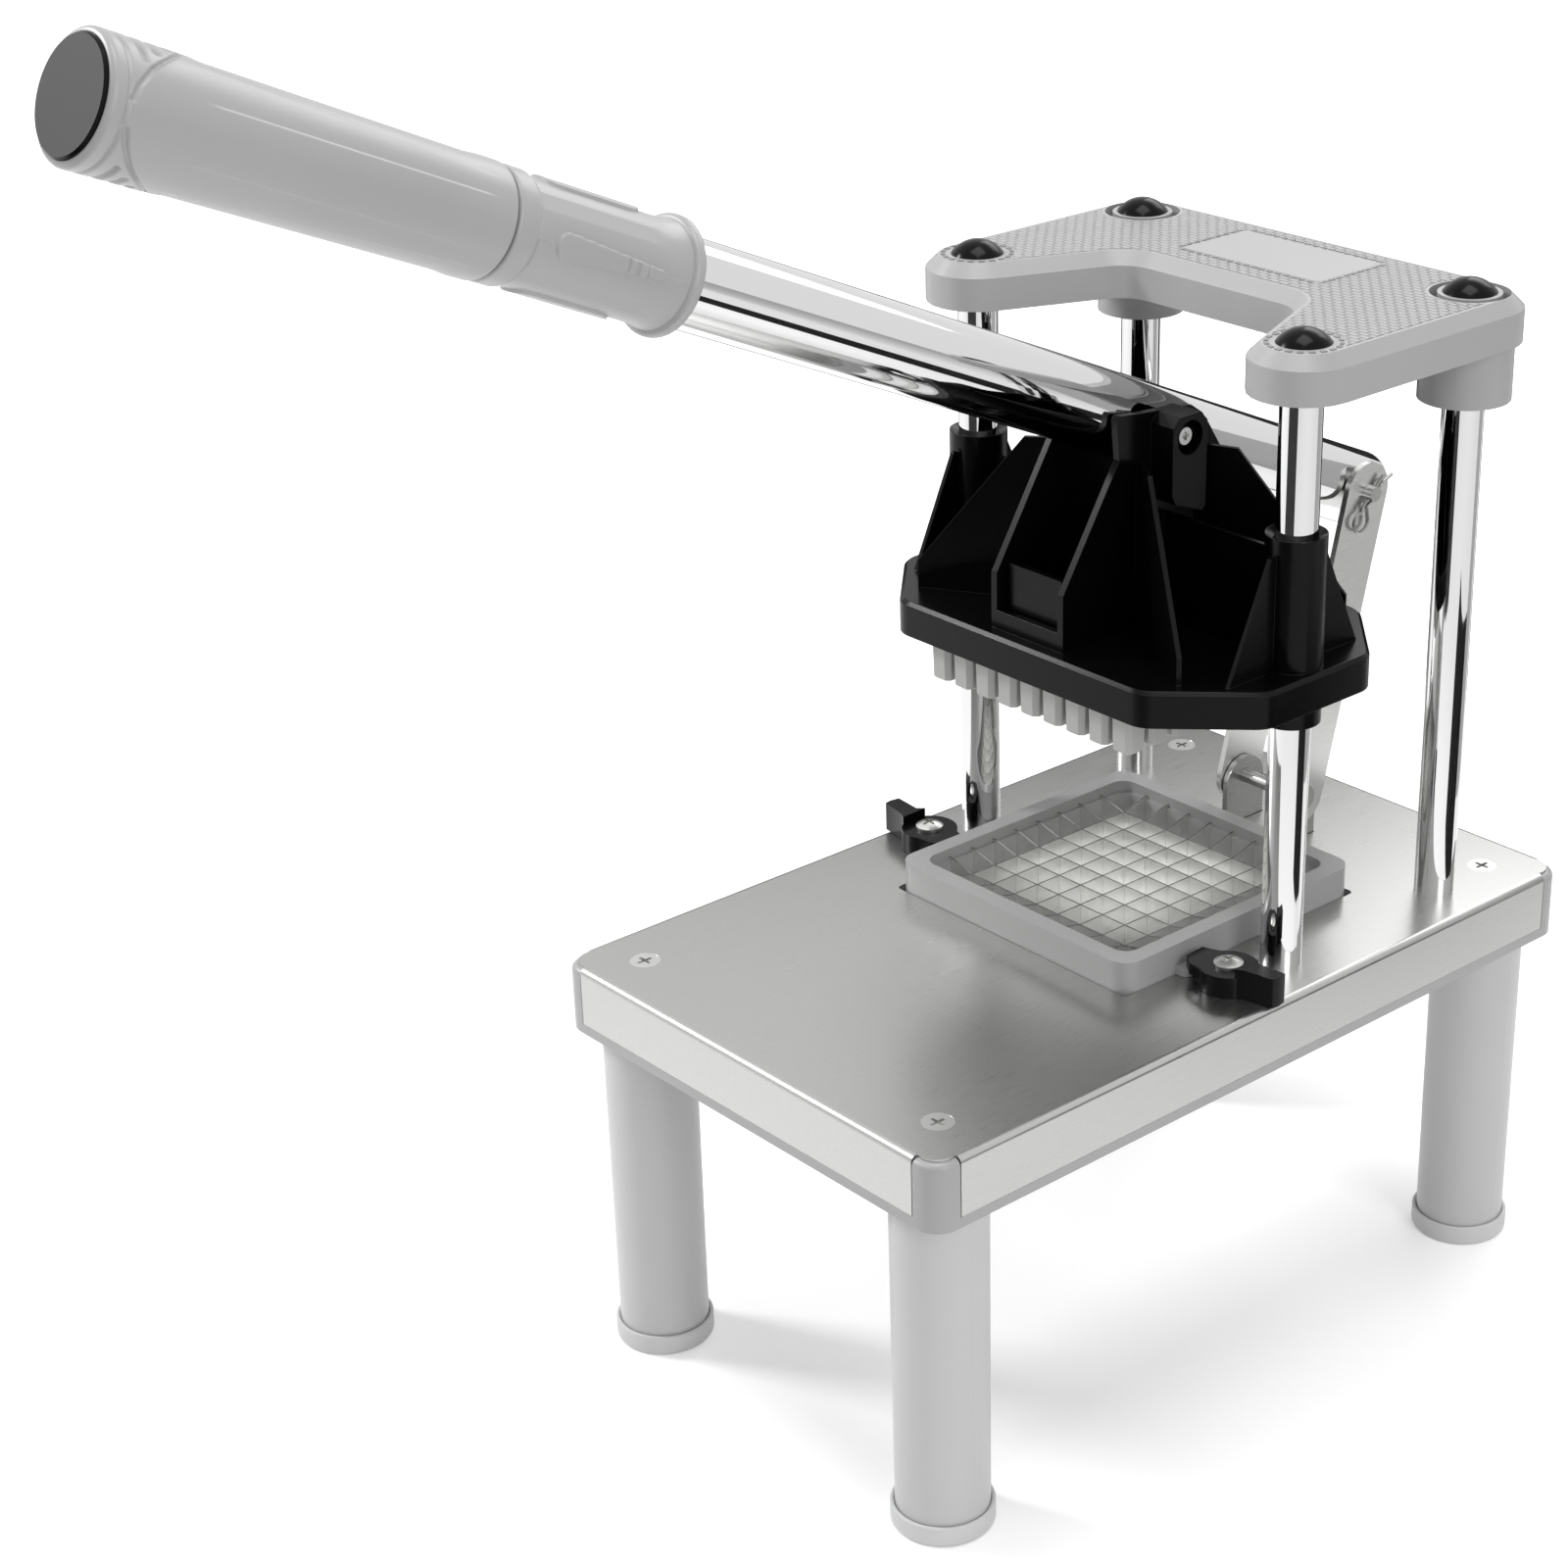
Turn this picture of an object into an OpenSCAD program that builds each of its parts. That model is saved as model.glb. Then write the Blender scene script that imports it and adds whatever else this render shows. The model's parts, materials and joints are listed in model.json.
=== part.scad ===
// French fry cutter: a potato stands on a grid of blades and a long lever
// pushes a block of square pins down through it. +Z up, the front is towards
// -Y, and the origin lies between the four feet on the bench.

/* [Base] */
// Distance of the cover's front edge from the middle of the blades
cover_front = 163; // [150:1:180]
// Distance of the cover's sides from the blade frame
cover_side = 35.2; // [35:0.2:42]
// Height of the cover's top face above the bench
cover_z = 138; // [110:1:170]
// Depth of the cover's turned-down sides
skirt_h = 19.5; // [15:0.5:21]
// Thickness of the cover sheet
sheet_t = 0.8; // [0.6:0.1:1.2]
// Outer radius of the fold along the cover's edges
fold_r = 2.2; // [1.6:0.1:3]
// Outer radius of the tray's corners
corner_r = 8; // [6:0.5:9]
// How far short of each corner the cover's sides stop
corner_cut = 10; // [9.5:0.5:14]
// Overall depth of the moulded tray below the cover's top face
tray_h = 23; // [22:0.5:30]
// Wall of the moulded tray
tray_wall = 3; // [2:0.2:4]
// Thickness of the tray's deck
deck_t = 3; // [2:0.2:4]

/* [Legs] */
// Distance of each leg's axis from the cover's side
leg_side = 19.1; // [17.5:0.1:19.5]
// Distance of each leg's axis from the cover's front or rear edge
leg_end = 18.5; // [18:0.5:20]
// Distance of the rear legs behind the rear pillars
leg_back = 24.5; // [24.5:0.5:40]
// Leg diameter at the tray
leg_top_d = 29.8; // [26:0.2:31]
// Leg diameter at the foot
leg_foot_d = 29.2; // [25:0.2:30]
// Wall of the leg
leg_wall = 2.4; // [1.6:0.2:4]
// Diameter of the foot cap
foot_d = 32.2; // [31.8:0.2:36]
// Height of the foot cap
foot_h = 7; // [5:0.5:12]
// Shank diameter of the leg screws
leg_screw_d = 5; // [4:0.5:6]
// Length of the leg screws under their heads
leg_screw_len = 30; // [20:1:36]

/* [Pillars] */
// Diameter of the pillars
pillar_d = 13; // [10:0.5:14]
// Distance between the front and the rear pillars
pillar_pitch = 74; // [70:1:76]
// Diameter of the threaded stud under each pillar
stud_d = 8; // [6:1:10]

/* [Blades] */
// Distance between neighbouring blades
blade_pitch = 10; // [9.6:0.1:10.4]
// Number of blades each way
blade_n = 8; // [4:2:8]
// Height of a blade
blade_h = 10; // [8:0.5:12]
// Thickness of a blade
blade_t = 0.6; // [0.4:0.1:1]
// Distance from the outermost blades to the frame's inner sides
blade_side = 11.4; // [11:0.1:12]
// Wall of the blade frame
frame_wall = 6; // [5:0.2:8]
// Height of the frame's rim above the cover
frame_rim = 10.3; // [9:0.1:10.6]
// Depth of the frame below the cover's top face
frame_sink = 9; // [8:0.5:11]
// Corner radius of the frame
frame_r = 6.5; // [5:0.5:9]

/* [Clamps] */
// Distance of each clamp's screw from the side of the blade frame
clamp_out = 16; // [16:0.2:17]
// Distance of the clamp screws in front of the front pillars
clamp_ahead = 23.8; // [23:0.2:26]
// Diameter of the clamp's hub
clamp_hub_d = 18.8; // [17:0.2:20]
// Height of the clamp's hub
clamp_hub_h = 7; // [6:0.2:8]
// Height of the clamp's thumb piece
paddle_h = 10; // [8:0.2:10.4]

/* [Linkage] */
// Distance of the base axle behind the blade frame
axle_behind = 16.6; // [15.6:0.2:18]
// Height of the base axle above the cover
axle_up = 16.2; // [16:0.1:18]
// Distance between the two holes of a link bar
link_len = 104.5; // [100:0.5:108]
// Width of a link bar
link_w = 19.6; // [18:0.2:20]
// Thickness of a link bar
link_t = 2; // [1.5:0.1:3]
// Diameter of the axle and of the clevis pin
pin_d = 5; // [4:0.5:6]

/* [Lever] */
// Distance along the lever from the head's pivot to the clevis pin
lever_arm = 104.5; // [103:0.5:106]
// Slope of the lever in its rest position
lever_rest = 24.2; // [20:0.2:28]
// Outer diameter of the lever tube
tube_d = 25; // [23:0.5:25.5]
// Wall of the lever tube
tube_wall = 1.5; // [1:0.1:2.5]
// Distance along the lever from the head's pivot to the grip's flange
grip_start = 187; // [170:1:200]
// Distance along the lever from the head's pivot to the grip's end face
grip_end = 370; // [340:1:400]
// Diameter of the grip at its thickest
grip_d = 32.6; // [30:0.2:38]

/* [Head] */
// How far the head's flange reaches past the pillars' axes, sideways
head_side = 11.5; // [11:0.5:13]
// How far the head's flange reaches past the block, front and rear
head_end = 4.6; // [4.6:0.2:7]
// Height of the pivot above the flange's top face
pivot_up = 60.2; // [56:0.2:64]
// Depth of the flange's skirt
head_skirt = 11.5; // [10:0.5:14]
// Wall of the head's moulding
head_wall = 2.5; // [2:0.1:3]
// Outer diameter of the sleeves that slide on the front pillars
sleeve_d = 18.8; // [17:0.2:21]
// Height of the sleeves above the flange
sleeve_up = 41.5; // [30:0.5:42]
// Diameter of the sleeve nut that carries the lever
bolt_d = 7; // [6:0.5:8]

/* [Pusher block] */
// Width of a pin at its root
pusher_pin_w = 8.6; // [8:0.1:8.8]
// Width of a pin at its tip
pusher_tip_w = 8; // [7:0.1:8.2]
// Length of the pins below the plate
pusher_pin_h = 12; // [10:0.5:13]

/* [Top plate] */
// Height of the plate's top face above the head's pivot at rest
plate_up = 38.8; // [38:0.2:60]
// Depth of the plate's sides
plate_h = 14.5; // [12:0.5:18]
// Width of the sloping edge round the plate's top
plate_edge = 4; // [2:0.5:5]
// Radius of the plate's ends round the pillars
plate_end_r = 16.5; // [15.8:0.1:18]
// Diameter of the round caps over the pillar screws
cap_d = 16.8; // [15:0.2:18]
// Height of the round caps
cap_h = 4.4; // [3:0.2:6]

/* [Hidden] */
$fn = 48;

// Clearances, and the overrun that every cut uses
over = 1;
fit = 0.05;
slip = 0.1;
gap = 0.3;

// Levels and lengths that follow from the sizes above
pusher_n = blade_n + 1;
frame_in_w = (blade_n - 1) * blade_pitch + 2 * blade_side;
frame_w = frame_in_w + 2 * frame_wall;
cover_w = frame_w + 2 * cover_side;
cover_rear = pillar_pitch + leg_back + leg_end;
cover_len = cover_front + cover_rear;
press_y = (cover_front - cover_rear) / 2;
leg_x = cover_w / 2 - leg_side;
leg_y = cover_len / 2 - leg_end;
pillar_x = leg_x;
clamp_x = frame_w / 2 + clamp_out;
axle_back = frame_w / 2 + axle_behind;
block_w = (pusher_n - 1) * blade_pitch + pusher_pin_w + 2 * slip;
head_hx = pillar_x + head_side;
head_hy = block_w / 2 + head_end;
deck_z = cover_z - sheet_t;
deck_under = deck_z - deck_t;
tray_z = cover_z - tray_h;
axle_y = press_y + axle_back;
axle_z = cover_z + axle_up;
pin_back = lever_arm * cos(lever_rest);
link_lean = asin((pin_back - axle_back) / link_len);
pin_y = press_y + pin_back;
pin_z = axle_z + link_len * cos(link_lean);
pivot_z = pin_z + lever_arm * sin(lever_rest);
rear_y = press_y + pillar_pitch;
clamp_y = press_y - clamp_ahead;
plate_z = pivot_z + plate_up;

// Small sizes of the base
lip_h = tray_h - skirt_h - slip;
leg_top_t = 5;
leg_boss_d = 12;
leg_boss_h = 30;
foot_floor = 3;
socket_wall = 2.4;
screw_head_d = 9.8;
screw_head_h = 2.6;
cross_w = 1.1;
cross_l = 5.2;
cross_d = 1.3;
boss_d = 22;
boss_h = 8;
washer_d = 17;
washer_t = 1.6;
nut_d = 15;
nut_h = 6.5;
stud_len = 21;
chute_wall = 2.5;
ledge_w = 4.2;
rib_t = 2;

// Small sizes of the blade frame and its clamps
frame_step = 1.2;
frame_step_z = 6.5;
blade_tab_z = 7.5;
blade_bite = 3;
lug_l = 5;
lug_w = 6;
lug_h = 2.8;
lug_ahead = 3.7;
cut_r = 2;
clamp_screw_d = 5;
pan_d = 9.2;
pan_h = 2.2;
clamp_nut_d = 9.5;
clamp_nut_h = 4;
clamp_boss_d = 13;
clamp_stud_len = 16;
// Outline of the clamp's tongue and of its thumb piece, as shares of the hub's radius
tongue_shares = [[0, -0.94], [-0.96, -0.84], [-1.4, -0.5], [-1.46, 0.31], [-0.9, 0.51], [-0.3, 0.81],
    [0, 0.9]];
paddle_shares = [[0.79, -0.55], [1.06, -0.41], [2.13, -0.2], [2.17, 0.06], [2.1, 0.41], [1.03, 0.3],
    [0.81, 0.53]];

// Small sizes of the linkage
ear_t = 2;
ear_w = 18;
link_in = 13;
ear_out = link_in - gap;
ear_over = 6.8;
bracket_t = 2;
bracket_lead = 1.5;
bracket_l = 34;
bracket_screw_x = 6.5;
bracket_screw_back = 16;
clip_t = 1;
clip_d = 9;
small_screw_d = 4;
small_head_d = 7.5;
small_head_h = 2.4;
small_screw_len = 8;
spring_wire = 1.2;
spring_loop_r = 3.4;
spring_leg = 10;
spring_tail = 7;
spring_reach = 9.5;
spring_lean = 42;
pin_tip = 0.8;

// Small sizes of the lever
tube_tail = 13;
plug_t = 1;
plug_l = 14;
plug_wall = 2;
slot_rear = 2.8;
slot_front = 10.2;
slot_side = 2;
collar_d = 28.4;
flange_d = 33;
flange_l = 3;
flare_r = 14;
rim_r = 1.2;
band_d = 29.6;
band_l = 6;
grip_split = 247;
grip_neck_d = 30.6;
grip_edge_r = 1.6;
grip_bore_end = 12;
cap_face_d = 29;
cap_t = 2.6;
cap_proud = 1;
cap_edge = 0.5;
pad_start = 13;
pad_l = 32;
pad_w = 10;
pad_proud = 0.8;

// Small sizes of the head, heights measured from the pivot
cheek_t = 2.5;
cheek_gap = 0.7;
cheek_in = tube_d / 2 + cheek_gap;
tower_in = 5;
tower_y = head_hy - tower_in;
tower_front_z = -42;
slope_y = 20.7;
slope_z = -4.7;
horn_y = 22;
horn_z = 9.3;
crown_z = 7;
crown_y = 10;
crown_round = 1;
brow_y = 15;
brow_z = 2.5;
shoulder_y = 18;
shoulder_z = -1.6;
sill_h = 6;
tongue_h = 21;
tongue_t = 2.4;
boss_out = 25;
boss_half = 7.4;
boss_low = 20;
boss_high = 7.2;
boss_corner = 3;
boss_skew = 4.5;
counter_d = 10.6;
counter_deep = 4;
bolt_head_d = 8.6;
bolt_head_h = 2;
pivot_head_d = 5.4;
inner_thread_d = 4;
stub_h = 6.5;
head_rib_t = 1.6;
rib_lean = 30.3;
rib_ahead = 3.4;
rib_in = 22.8;
rib_foot = 9;
rib_rise = 1.26;
rib_out = 14.6;
fin_in = 11.6;
fin_out = 28.2;
fin_down = 5.5;
web_down = 6.8;
flange_chamfer_x = 27;
flange_chamfer_y = 26.4;
flange_r = 4;
flange_edge = 1.2;
rim_cut = 1.4;
chamfer_share = 0.586;
tab_w = 22.8;
tab_t = 2.2;
tab_slot = 1;

// Small sizes of the pusher block
block_t = 3;
block_show = 1.5;
pin_corner = 1.6;
pin_point = 1.2;

// Small sizes of the top plate
plate_wall = 2.6;
notch_lean = 23;
notch_y = 35;
notch_r = 12;
end_n = 10;
socket_d = 18.6;
rear_boss_d = 28.7;
rear_boss_h = 32.7;
well_d = 24.6;
collar_ring_d = 19.6;
well_deep = 5;
seat_deep = 6;
seat_floor = 4;
seat_d = 13.8;
top_screw_d = 6;
top_head_d = 11;
top_head_h = 3.2;
top_screw_len = 16;
cap_plug_l = 2.2;
cap_plug_wall = 1.2;

function arc(c, r, a0, a1, n) =
    [for (i = [0 : n]) c + r * [cos(a0 + (a1 - a0) * i / n), sin(a0 + (a1 - a0) * i / n)]];
function at_height(points, z) = [for (p = points) [p[0], p[1], z]];

// Closed solid through rings of points that all have the same count. Caps lists the
// faces that close a ring whose outline isn't convex, as indices into the ring.
module skin(rings, caps = undef) {
    n = len(rings[0]);
    m = len(rings);
    ends = is_undef(caps) ? [[for (i = [0 : n - 1]) i]] : caps;
    points = [for (ring = rings) each ring];
    sides = [for (k = [0 : m - 2], i = [0 : n - 1])
        each [[k * n + i, (k + 1) * n + i, (k + 1) * n + (i + 1) % n],
              [k * n + i, (k + 1) * n + (i + 1) % n, k * n + (i + 1) % n]]];
    top = [for (face = ends) [for (i = [len(face) - 1 : -1 : 0]) (m - 1) * n + face[i]]];
    polyhedron(points, concat(sides, ends, top), convexity = 6);
}

// Flat plate with rounded corners, centred on the origin
module slab(hx, hy, r, h) {
    linear_extrude(h) {
        square([2 * hx, 2 * (hy - r)], center = true);
        square([2 * (hx - r), 2 * hy], center = true);
        for (sx = [-1, 1], sy = [-1, 1]) translate([sx * (hx - r), sy * (hy - r)]) circle(r);
    }
}

module rod(d, z0, z1) translate([0, 0, z0]) cylinder(d = d, h = z1 - z0);

// Rod along X from x0 to x1
module cross_rod(d, x0, x1) translate([x0, 0, 0]) rotate([0, 90, 0]) cylinder(d = d, h = x1 - x0);

// Plate of thickness t in the plane of Y and Z, its middle at x
module side_plate(x, t) translate([x - t / 2, 0, 0]) rotate([90, 0, 90]) linear_extrude(t) children();

module at_legs() for (sx = [-1, 1], sy = [-1, 1]) translate([sx * leg_x, sy * leg_y, 0]) children();
module at_front_pillars() for (s = [-1, 1]) translate([s * pillar_x, press_y, 0]) children();
module at_rear_pillars() for (s = [-1, 1]) translate([s * pillar_x, rear_y, 0]) children();
module at_clamps() for (s = [-1, 1]) translate([s * clamp_x, clamp_y, 0]) children();
module at_bracket_screws() for (s = [-1, 1])
    translate([s * bracket_screw_x, axle_y + bracket_screw_back, 0]) children();
module cross_recess(z, l = cross_l) {
    for (a = [0, 90]) rotate([0, 0, a]) translate([-l / 2, -cross_w / 2, z - cross_d])
        cube([l, cross_w, cross_d + over]);
}

// The cover: a sheet folded down on four sides, open at the corners
module fold_profile(half) {
    translate([half - fold_r, cover_z - fold_r]) intersection() {
        difference() {
            circle(fold_r);
            circle(fold_r - sheet_t);
        }
        square(fold_r);
    }
    translate([half - sheet_t, cover_z - skirt_h]) square([sheet_t, skirt_h - fold_r]);
}
module screw_cone(extra, z) {
    translate([0, 0, z - screw_head_h])
        cylinder(r1 = leg_screw_d / 2 + extra, r2 = screw_head_d / 2 + extra, h = screw_head_h);
}
module ear_slots(z, h) {
    for (s = [-1, 1]) translate([s * (ear_out - ear_t / 2), axle_y, z + h / 2])
        cube([ear_t + 2 * gap, ear_w + 2 * gap, h], center = true);
}
module cover_sheet() color("silver") difference() {
    union() {
        translate([0, 0, deck_z])
            slab(cover_w / 2 - fold_r, cover_len / 2 - fold_r, corner_r - fold_r, sheet_t);
        for (a = [0, 180]) rotate([0, 0, a]) translate([0, cover_len / 2 - corner_cut, 0]) rotate([90, 0, 0])
            linear_extrude(cover_len - 2 * corner_cut) fold_profile(cover_w / 2);
        for (a = [90, 270]) rotate([0, 0, a]) translate([0, cover_w / 2 - corner_cut, 0]) rotate([90, 0, 0])
            linear_extrude(cover_w - 2 * corner_cut) fold_profile(cover_len / 2);
        at_legs() screw_cone(sheet_t, cover_z);
    }
    at_legs() {
        screw_cone(fit, cover_z);
        rod(leg_screw_d + 2 * slip, deck_under, cover_z);
    }
    at_front_pillars() rod(stud_d + 2 * slip, deck_under, cover_z + over);
    at_rear_pillars() rod(stud_d + 2 * slip, deck_under, cover_z + over);
    at_clamps() rod(clamp_screw_d + 2 * slip, deck_under, cover_z + over);
    translate([0, press_y, deck_under])
        slab(frame_w / 2 + gap, frame_w / 2 + gap, cut_r, deck_t + 2 * over);
    ear_slots(deck_under, deck_t + 2 * over);
}

// The moulded tray under the cover, with a chute below the blades
module post_profile() {
    square([corner_r, deck_z - fold_r - tray_z]);
    square([corner_r - fold_r, deck_z - tray_z]);
    translate([corner_r - fold_r, deck_z - fold_r - tray_z]) circle(fold_r);
}
module corner_post() {
    stub = corner_cut - corner_r - gap;
    translate([0, 0, tray_z]) {
        intersection() {
            rotate_extrude() intersection() {
                post_profile();
                square([corner_r, deck_z - tray_z]);
            }
            cube([corner_r, corner_r, deck_z - tray_z]);
        }
        rotate([90, 0, 0]) linear_extrude(stub) post_profile();
        mirror([1, -1, 0]) rotate([90, 0, 0]) linear_extrude(stub) post_profile();
    }
}
module base_tray() color("darkgray") {
    in_x = cover_w / 2 - sheet_t - slip;
    in_y = cover_len / 2 - sheet_t - slip;
    chute = frame_w / 2 + gap;
    difference() {
        union() {
            difference() {
                union() {
                    translate([0, 0, tray_z]) slab(cover_w / 2, cover_len / 2, corner_r, lip_h);
                    translate([0, 0, tray_z]) slab(in_x, in_y, corner_r, deck_z - fold_r - tray_z);
                    translate([0, 0, tray_z]) slab(cover_w / 2 - fold_r - slip, cover_len / 2 - fold_r - slip,
                        corner_r - fold_r, deck_z - tray_z);
                    for (a = [0, 1], b = [0, 1]) mirror([a, 0, 0]) mirror([0, b, 0])
                        translate([cover_w / 2 - corner_r, cover_len / 2 - corner_r, 0]) corner_post();
                }
                translate([0, 0, tray_z - over])
                    slab(in_x - tray_wall, in_y - tray_wall, corner_r - tray_wall,
                        deck_under - tray_z + over);
            }
            translate([0, press_y, tray_z])
                slab(chute + chute_wall, chute + chute_wall, frame_r + chute_wall, deck_z - tray_z - slip);
            at_legs() rod(leg_top_d + 2 * (slip + socket_wall), tray_z, deck_under + deck_t / 2);
            at_front_pillars() rod(boss_d, deck_under - boss_h, deck_z - slip);
            at_rear_pillars() rod(boss_d, deck_under - boss_h, deck_z - slip);
            at_clamps() rod(clamp_boss_d, deck_under - boss_h, deck_z - slip);
            for (s = [-1, 1]) translate([s * leg_x - rib_t / 2, -leg_y, deck_under - boss_h])
                cube([rib_t, 2 * leg_y, boss_h + deck_t / 2]);
            for (s = [-1, 1]) translate([-leg_x, s * leg_y - rib_t / 2, deck_under - boss_h])
                cube([2 * leg_x, rib_t, boss_h + deck_t / 2]);
        }
        translate([0, press_y, cover_z - frame_sink]) slab(chute, chute, cut_r, frame_sink);
        translate([0, press_y, tray_z - over])
            slab(frame_w / 2 - ledge_w, frame_w / 2 - ledge_w, frame_r, tray_h);
        at_legs() {
            rod(leg_top_d + 2 * slip, tray_z - over, deck_under);
            rod(leg_screw_d + 2 * slip, tray_z, cover_z);
            screw_cone(sheet_t + fit, cover_z);
        }
        for (s = [-1, 1], y = [press_y, rear_y]) translate([s * pillar_x, y, 0]) {
            rod(stud_d + 2 * slip, tray_z, cover_z);
            rod(washer_d + 2 * gap, tray_z - over, deck_under - boss_h);
        }
        at_clamps() {
            rod(clamp_screw_d + 2 * slip, tray_z, cover_z);
            rod(clamp_nut_d + 2 * gap, tray_z - over, deck_under - boss_h);
        }
        ear_slots(deck_under - bracket_t - over, deck_t + bracket_t + 2 * over);
        at_bracket_screws()
            rod(small_screw_d + 2 * fit, deck_under - over,
                deck_under + small_screw_len - bracket_t - deck_t);
    }
}

// Legs, foot caps and the screws that hold them
module leg(sx, sy) color("darkgray") translate([sx * leg_x, sy * leg_y, 0]) rotate_extrude() polygon([
    [leg_screw_d / 2 + fit, deck_under], [leg_top_d / 2, deck_under], [leg_foot_d / 2, foot_floor],
    [leg_foot_d / 2 - leg_wall, foot_floor], [leg_top_d / 2 - leg_wall, deck_under - leg_top_t],
    [leg_boss_d / 2, deck_under - leg_top_t], [leg_boss_d / 2, deck_under - leg_boss_h],
    [leg_screw_d / 2 + fit, deck_under - leg_boss_h]]);
module foot(sx, sy) color("gray") translate([sx * leg_x, sy * leg_y, 0]) {
    in_r = leg_foot_d / 2 + slip + (leg_top_d - leg_foot_d) / 2 * foot_h / deck_under;
    lip_r = foot_d / 2 - in_r;
    rotate_extrude() difference() {
        union() {
            square([foot_d / 2 - lip_r / 2, foot_h - lip_r / 2]);
            translate([0, lip_r]) square([foot_d / 2, foot_h - 2 * lip_r]);
            translate([foot_d / 2 - lip_r, lip_r]) circle(lip_r);
            translate([in_r + lip_r / 2, foot_h - lip_r / 2]) circle(lip_r / 2);
            translate([foot_d / 2 - lip_r, foot_h / 2]) square([lip_r, foot_h / 2 - lip_r / 2]);
        }
        translate([0, foot_floor]) square([in_r, foot_h]);
        translate([-foot_d, 0]) square([foot_d, foot_h]);
    }
}
module leg_front_left() leg(-1, -1);
module leg_front_right() leg(1, -1);
module leg_rear_left() leg(-1, 1);
module leg_rear_right() leg(1, 1);
module foot_front_left() foot(-1, -1);
module foot_front_right() foot(1, -1);
module foot_rear_left() foot(-1, 1);
module foot_rear_right() foot(1, 1);
module leg_screws() color("gainsboro") at_legs() difference() {
    union() {
        screw_cone(0, cover_z - fit);
        rod(leg_screw_d, cover_z - leg_screw_len, cover_z - fit - screw_head_h);
    }
    cross_recess(cover_z - fit);
}

// Pillars with a threaded stud below, their nuts and washers
module pillar(sx, y) color("whitesmoke") translate([sx * pillar_x, y, 0]) difference() {
    union() {
        rod(pillar_d, cover_z, plate_z - seat_deep - seat_floor);
        rod(stud_d, cover_z - stud_len, cover_z + over);
    }
    rod(top_screw_d + 2 * fit, plate_z - seat_deep - top_screw_len - over, plate_z);
}
module pillar_front_left() pillar(-1, press_y);
module pillar_front_right() pillar(1, press_y);
module pillar_rear_left() pillar(-1, rear_y);
module pillar_rear_right() pillar(1, rear_y);
module at_pillars() {
    at_front_pillars() children();
    at_rear_pillars() children();
}
module pillar_washers() color("gainsboro") at_pillars() difference() {
    rod(washer_d, deck_under - boss_h - washer_t, deck_under - boss_h);
    rod(stud_d + 2 * fit, tray_z - over, cover_z);
}
module pillar_nuts() color("gainsboro") at_pillars() translate([0, 0, deck_under - boss_h - washer_t - nut_h])
    difference() {
        cylinder(d = nut_d, h = nut_h, $fn = 6);
        rod(stud_d + 2 * fit, -over, nut_h + over);
    }

// Blade frame with lugs on its sides for the clamps
module blade_slots(extra) {
    for (i = [0 : blade_n - 1]) translate([0, (i - (blade_n - 1) / 2) * blade_pitch, 0]) children();
}
module cartridge_frame() color("darkgray") translate([0, press_y, cover_z]) {
    half = frame_w / 2;
    inner = frame_in_w / 2;
    difference() {
        union() {
            translate([0, 0, fit - frame_sink]) slab(half, half, frame_r, frame_rim + frame_sink - fit);
            for (s = [-1, 1]) translate([s * half, -clamp_ahead - lug_ahead, slip]) linear_extrude(lug_h) {
                translate([-lug_w / 2, -lug_w / 2]) square([lug_w, lug_w]);
                translate([s * (lug_l - lug_w / 2), 0]) circle(lug_w / 2);
            }
        }
        translate([0, 0, frame_step_z]) slab(inner, inner, frame_r - frame_step, frame_rim);
        translate([0, 0, -frame_sink - over])
            slab(inner - frame_step, inner - frame_step, frame_r - frame_step, frame_rim + frame_sink);
        for (a = [0, 90]) rotate([0, 0, a]) blade_slots() rotate([90, 0, 0])
            translate([0, 0, -blade_t / 2 - fit]) linear_extrude(blade_t + 2 * fit) {
                w = inner + blade_bite + fit;
                translate([-w, -blade_h / 2 - fit]) square([2 * w, blade_h / 2 + fit + blade_tab_z]);
            }
    }
}

// One blade seen from its side, with half-depth notches for the crossing blades
module blade_profile(up) {
    w = frame_in_w / 2 + blade_bite;
    face = frame_in_w / 2 - frame_step;
    last = (blade_n - 1) / 2 * blade_pitch;
    cut = blade_t / 2 + fit;
    tab = blade_tab_z - fit;
    difference() {
        polygon([[-w, -blade_h / 2], [w, -blade_h / 2], [w, tab], [face, tab], [last + blade_t, blade_h / 2],
            [-last - blade_t, blade_h / 2], [-face, tab], [-w, tab]]);
        for (i = [0 : blade_n - 1]) translate([-last + i * blade_pitch - cut, up ? -fit / 2 : -blade_h])
            square([2 * cut, blade_h + fit / 2]);
    }
}
module blade_row(up) translate([0, press_y, cover_z]) rotate([0, 0, up ? 90 : 0]) blade_slots()
    rotate([90, 0, 0]) translate([0, 0, -blade_t / 2]) linear_extrude(blade_t) blade_profile(up);
module blades_lengthwise() color("lightgray") blade_row(true);
module blades_crosswise() color("silver") blade_row(false);

// Turning clamps that hold the blade frame down, and their screws
module clamp(s) color([0.09, 0.09, 0.1]) translate([s * clamp_x, clamp_y, cover_z + slip])
    mirror([s < 0 ? 1 : 0, 0, 0]) difference() {
        union() {
            cylinder(d = clamp_hub_d, h = clamp_hub_h - slip);
            linear_extrude(clamp_hub_h - slip) polygon(tongue_shares * clamp_hub_d / 2);
            linear_extrude(paddle_h - slip) polygon(paddle_shares * clamp_hub_d / 2);
        }
        rod(clamp_screw_d + 2 * fit, -over, paddle_h + over);
        // Room above the frame's lug over the whole turn
        difference() {
            translate([-clamp_hub_d, -clamp_hub_d, -over])
                cube([clamp_hub_d, 2 * clamp_hub_d, lug_h + gap + over]);
            rod(clamp_hub_d + gap, -2 * over, lug_h + 2 * over);
        }
    }
module clamp_left() clamp(-1);
module clamp_right() clamp(1);
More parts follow.
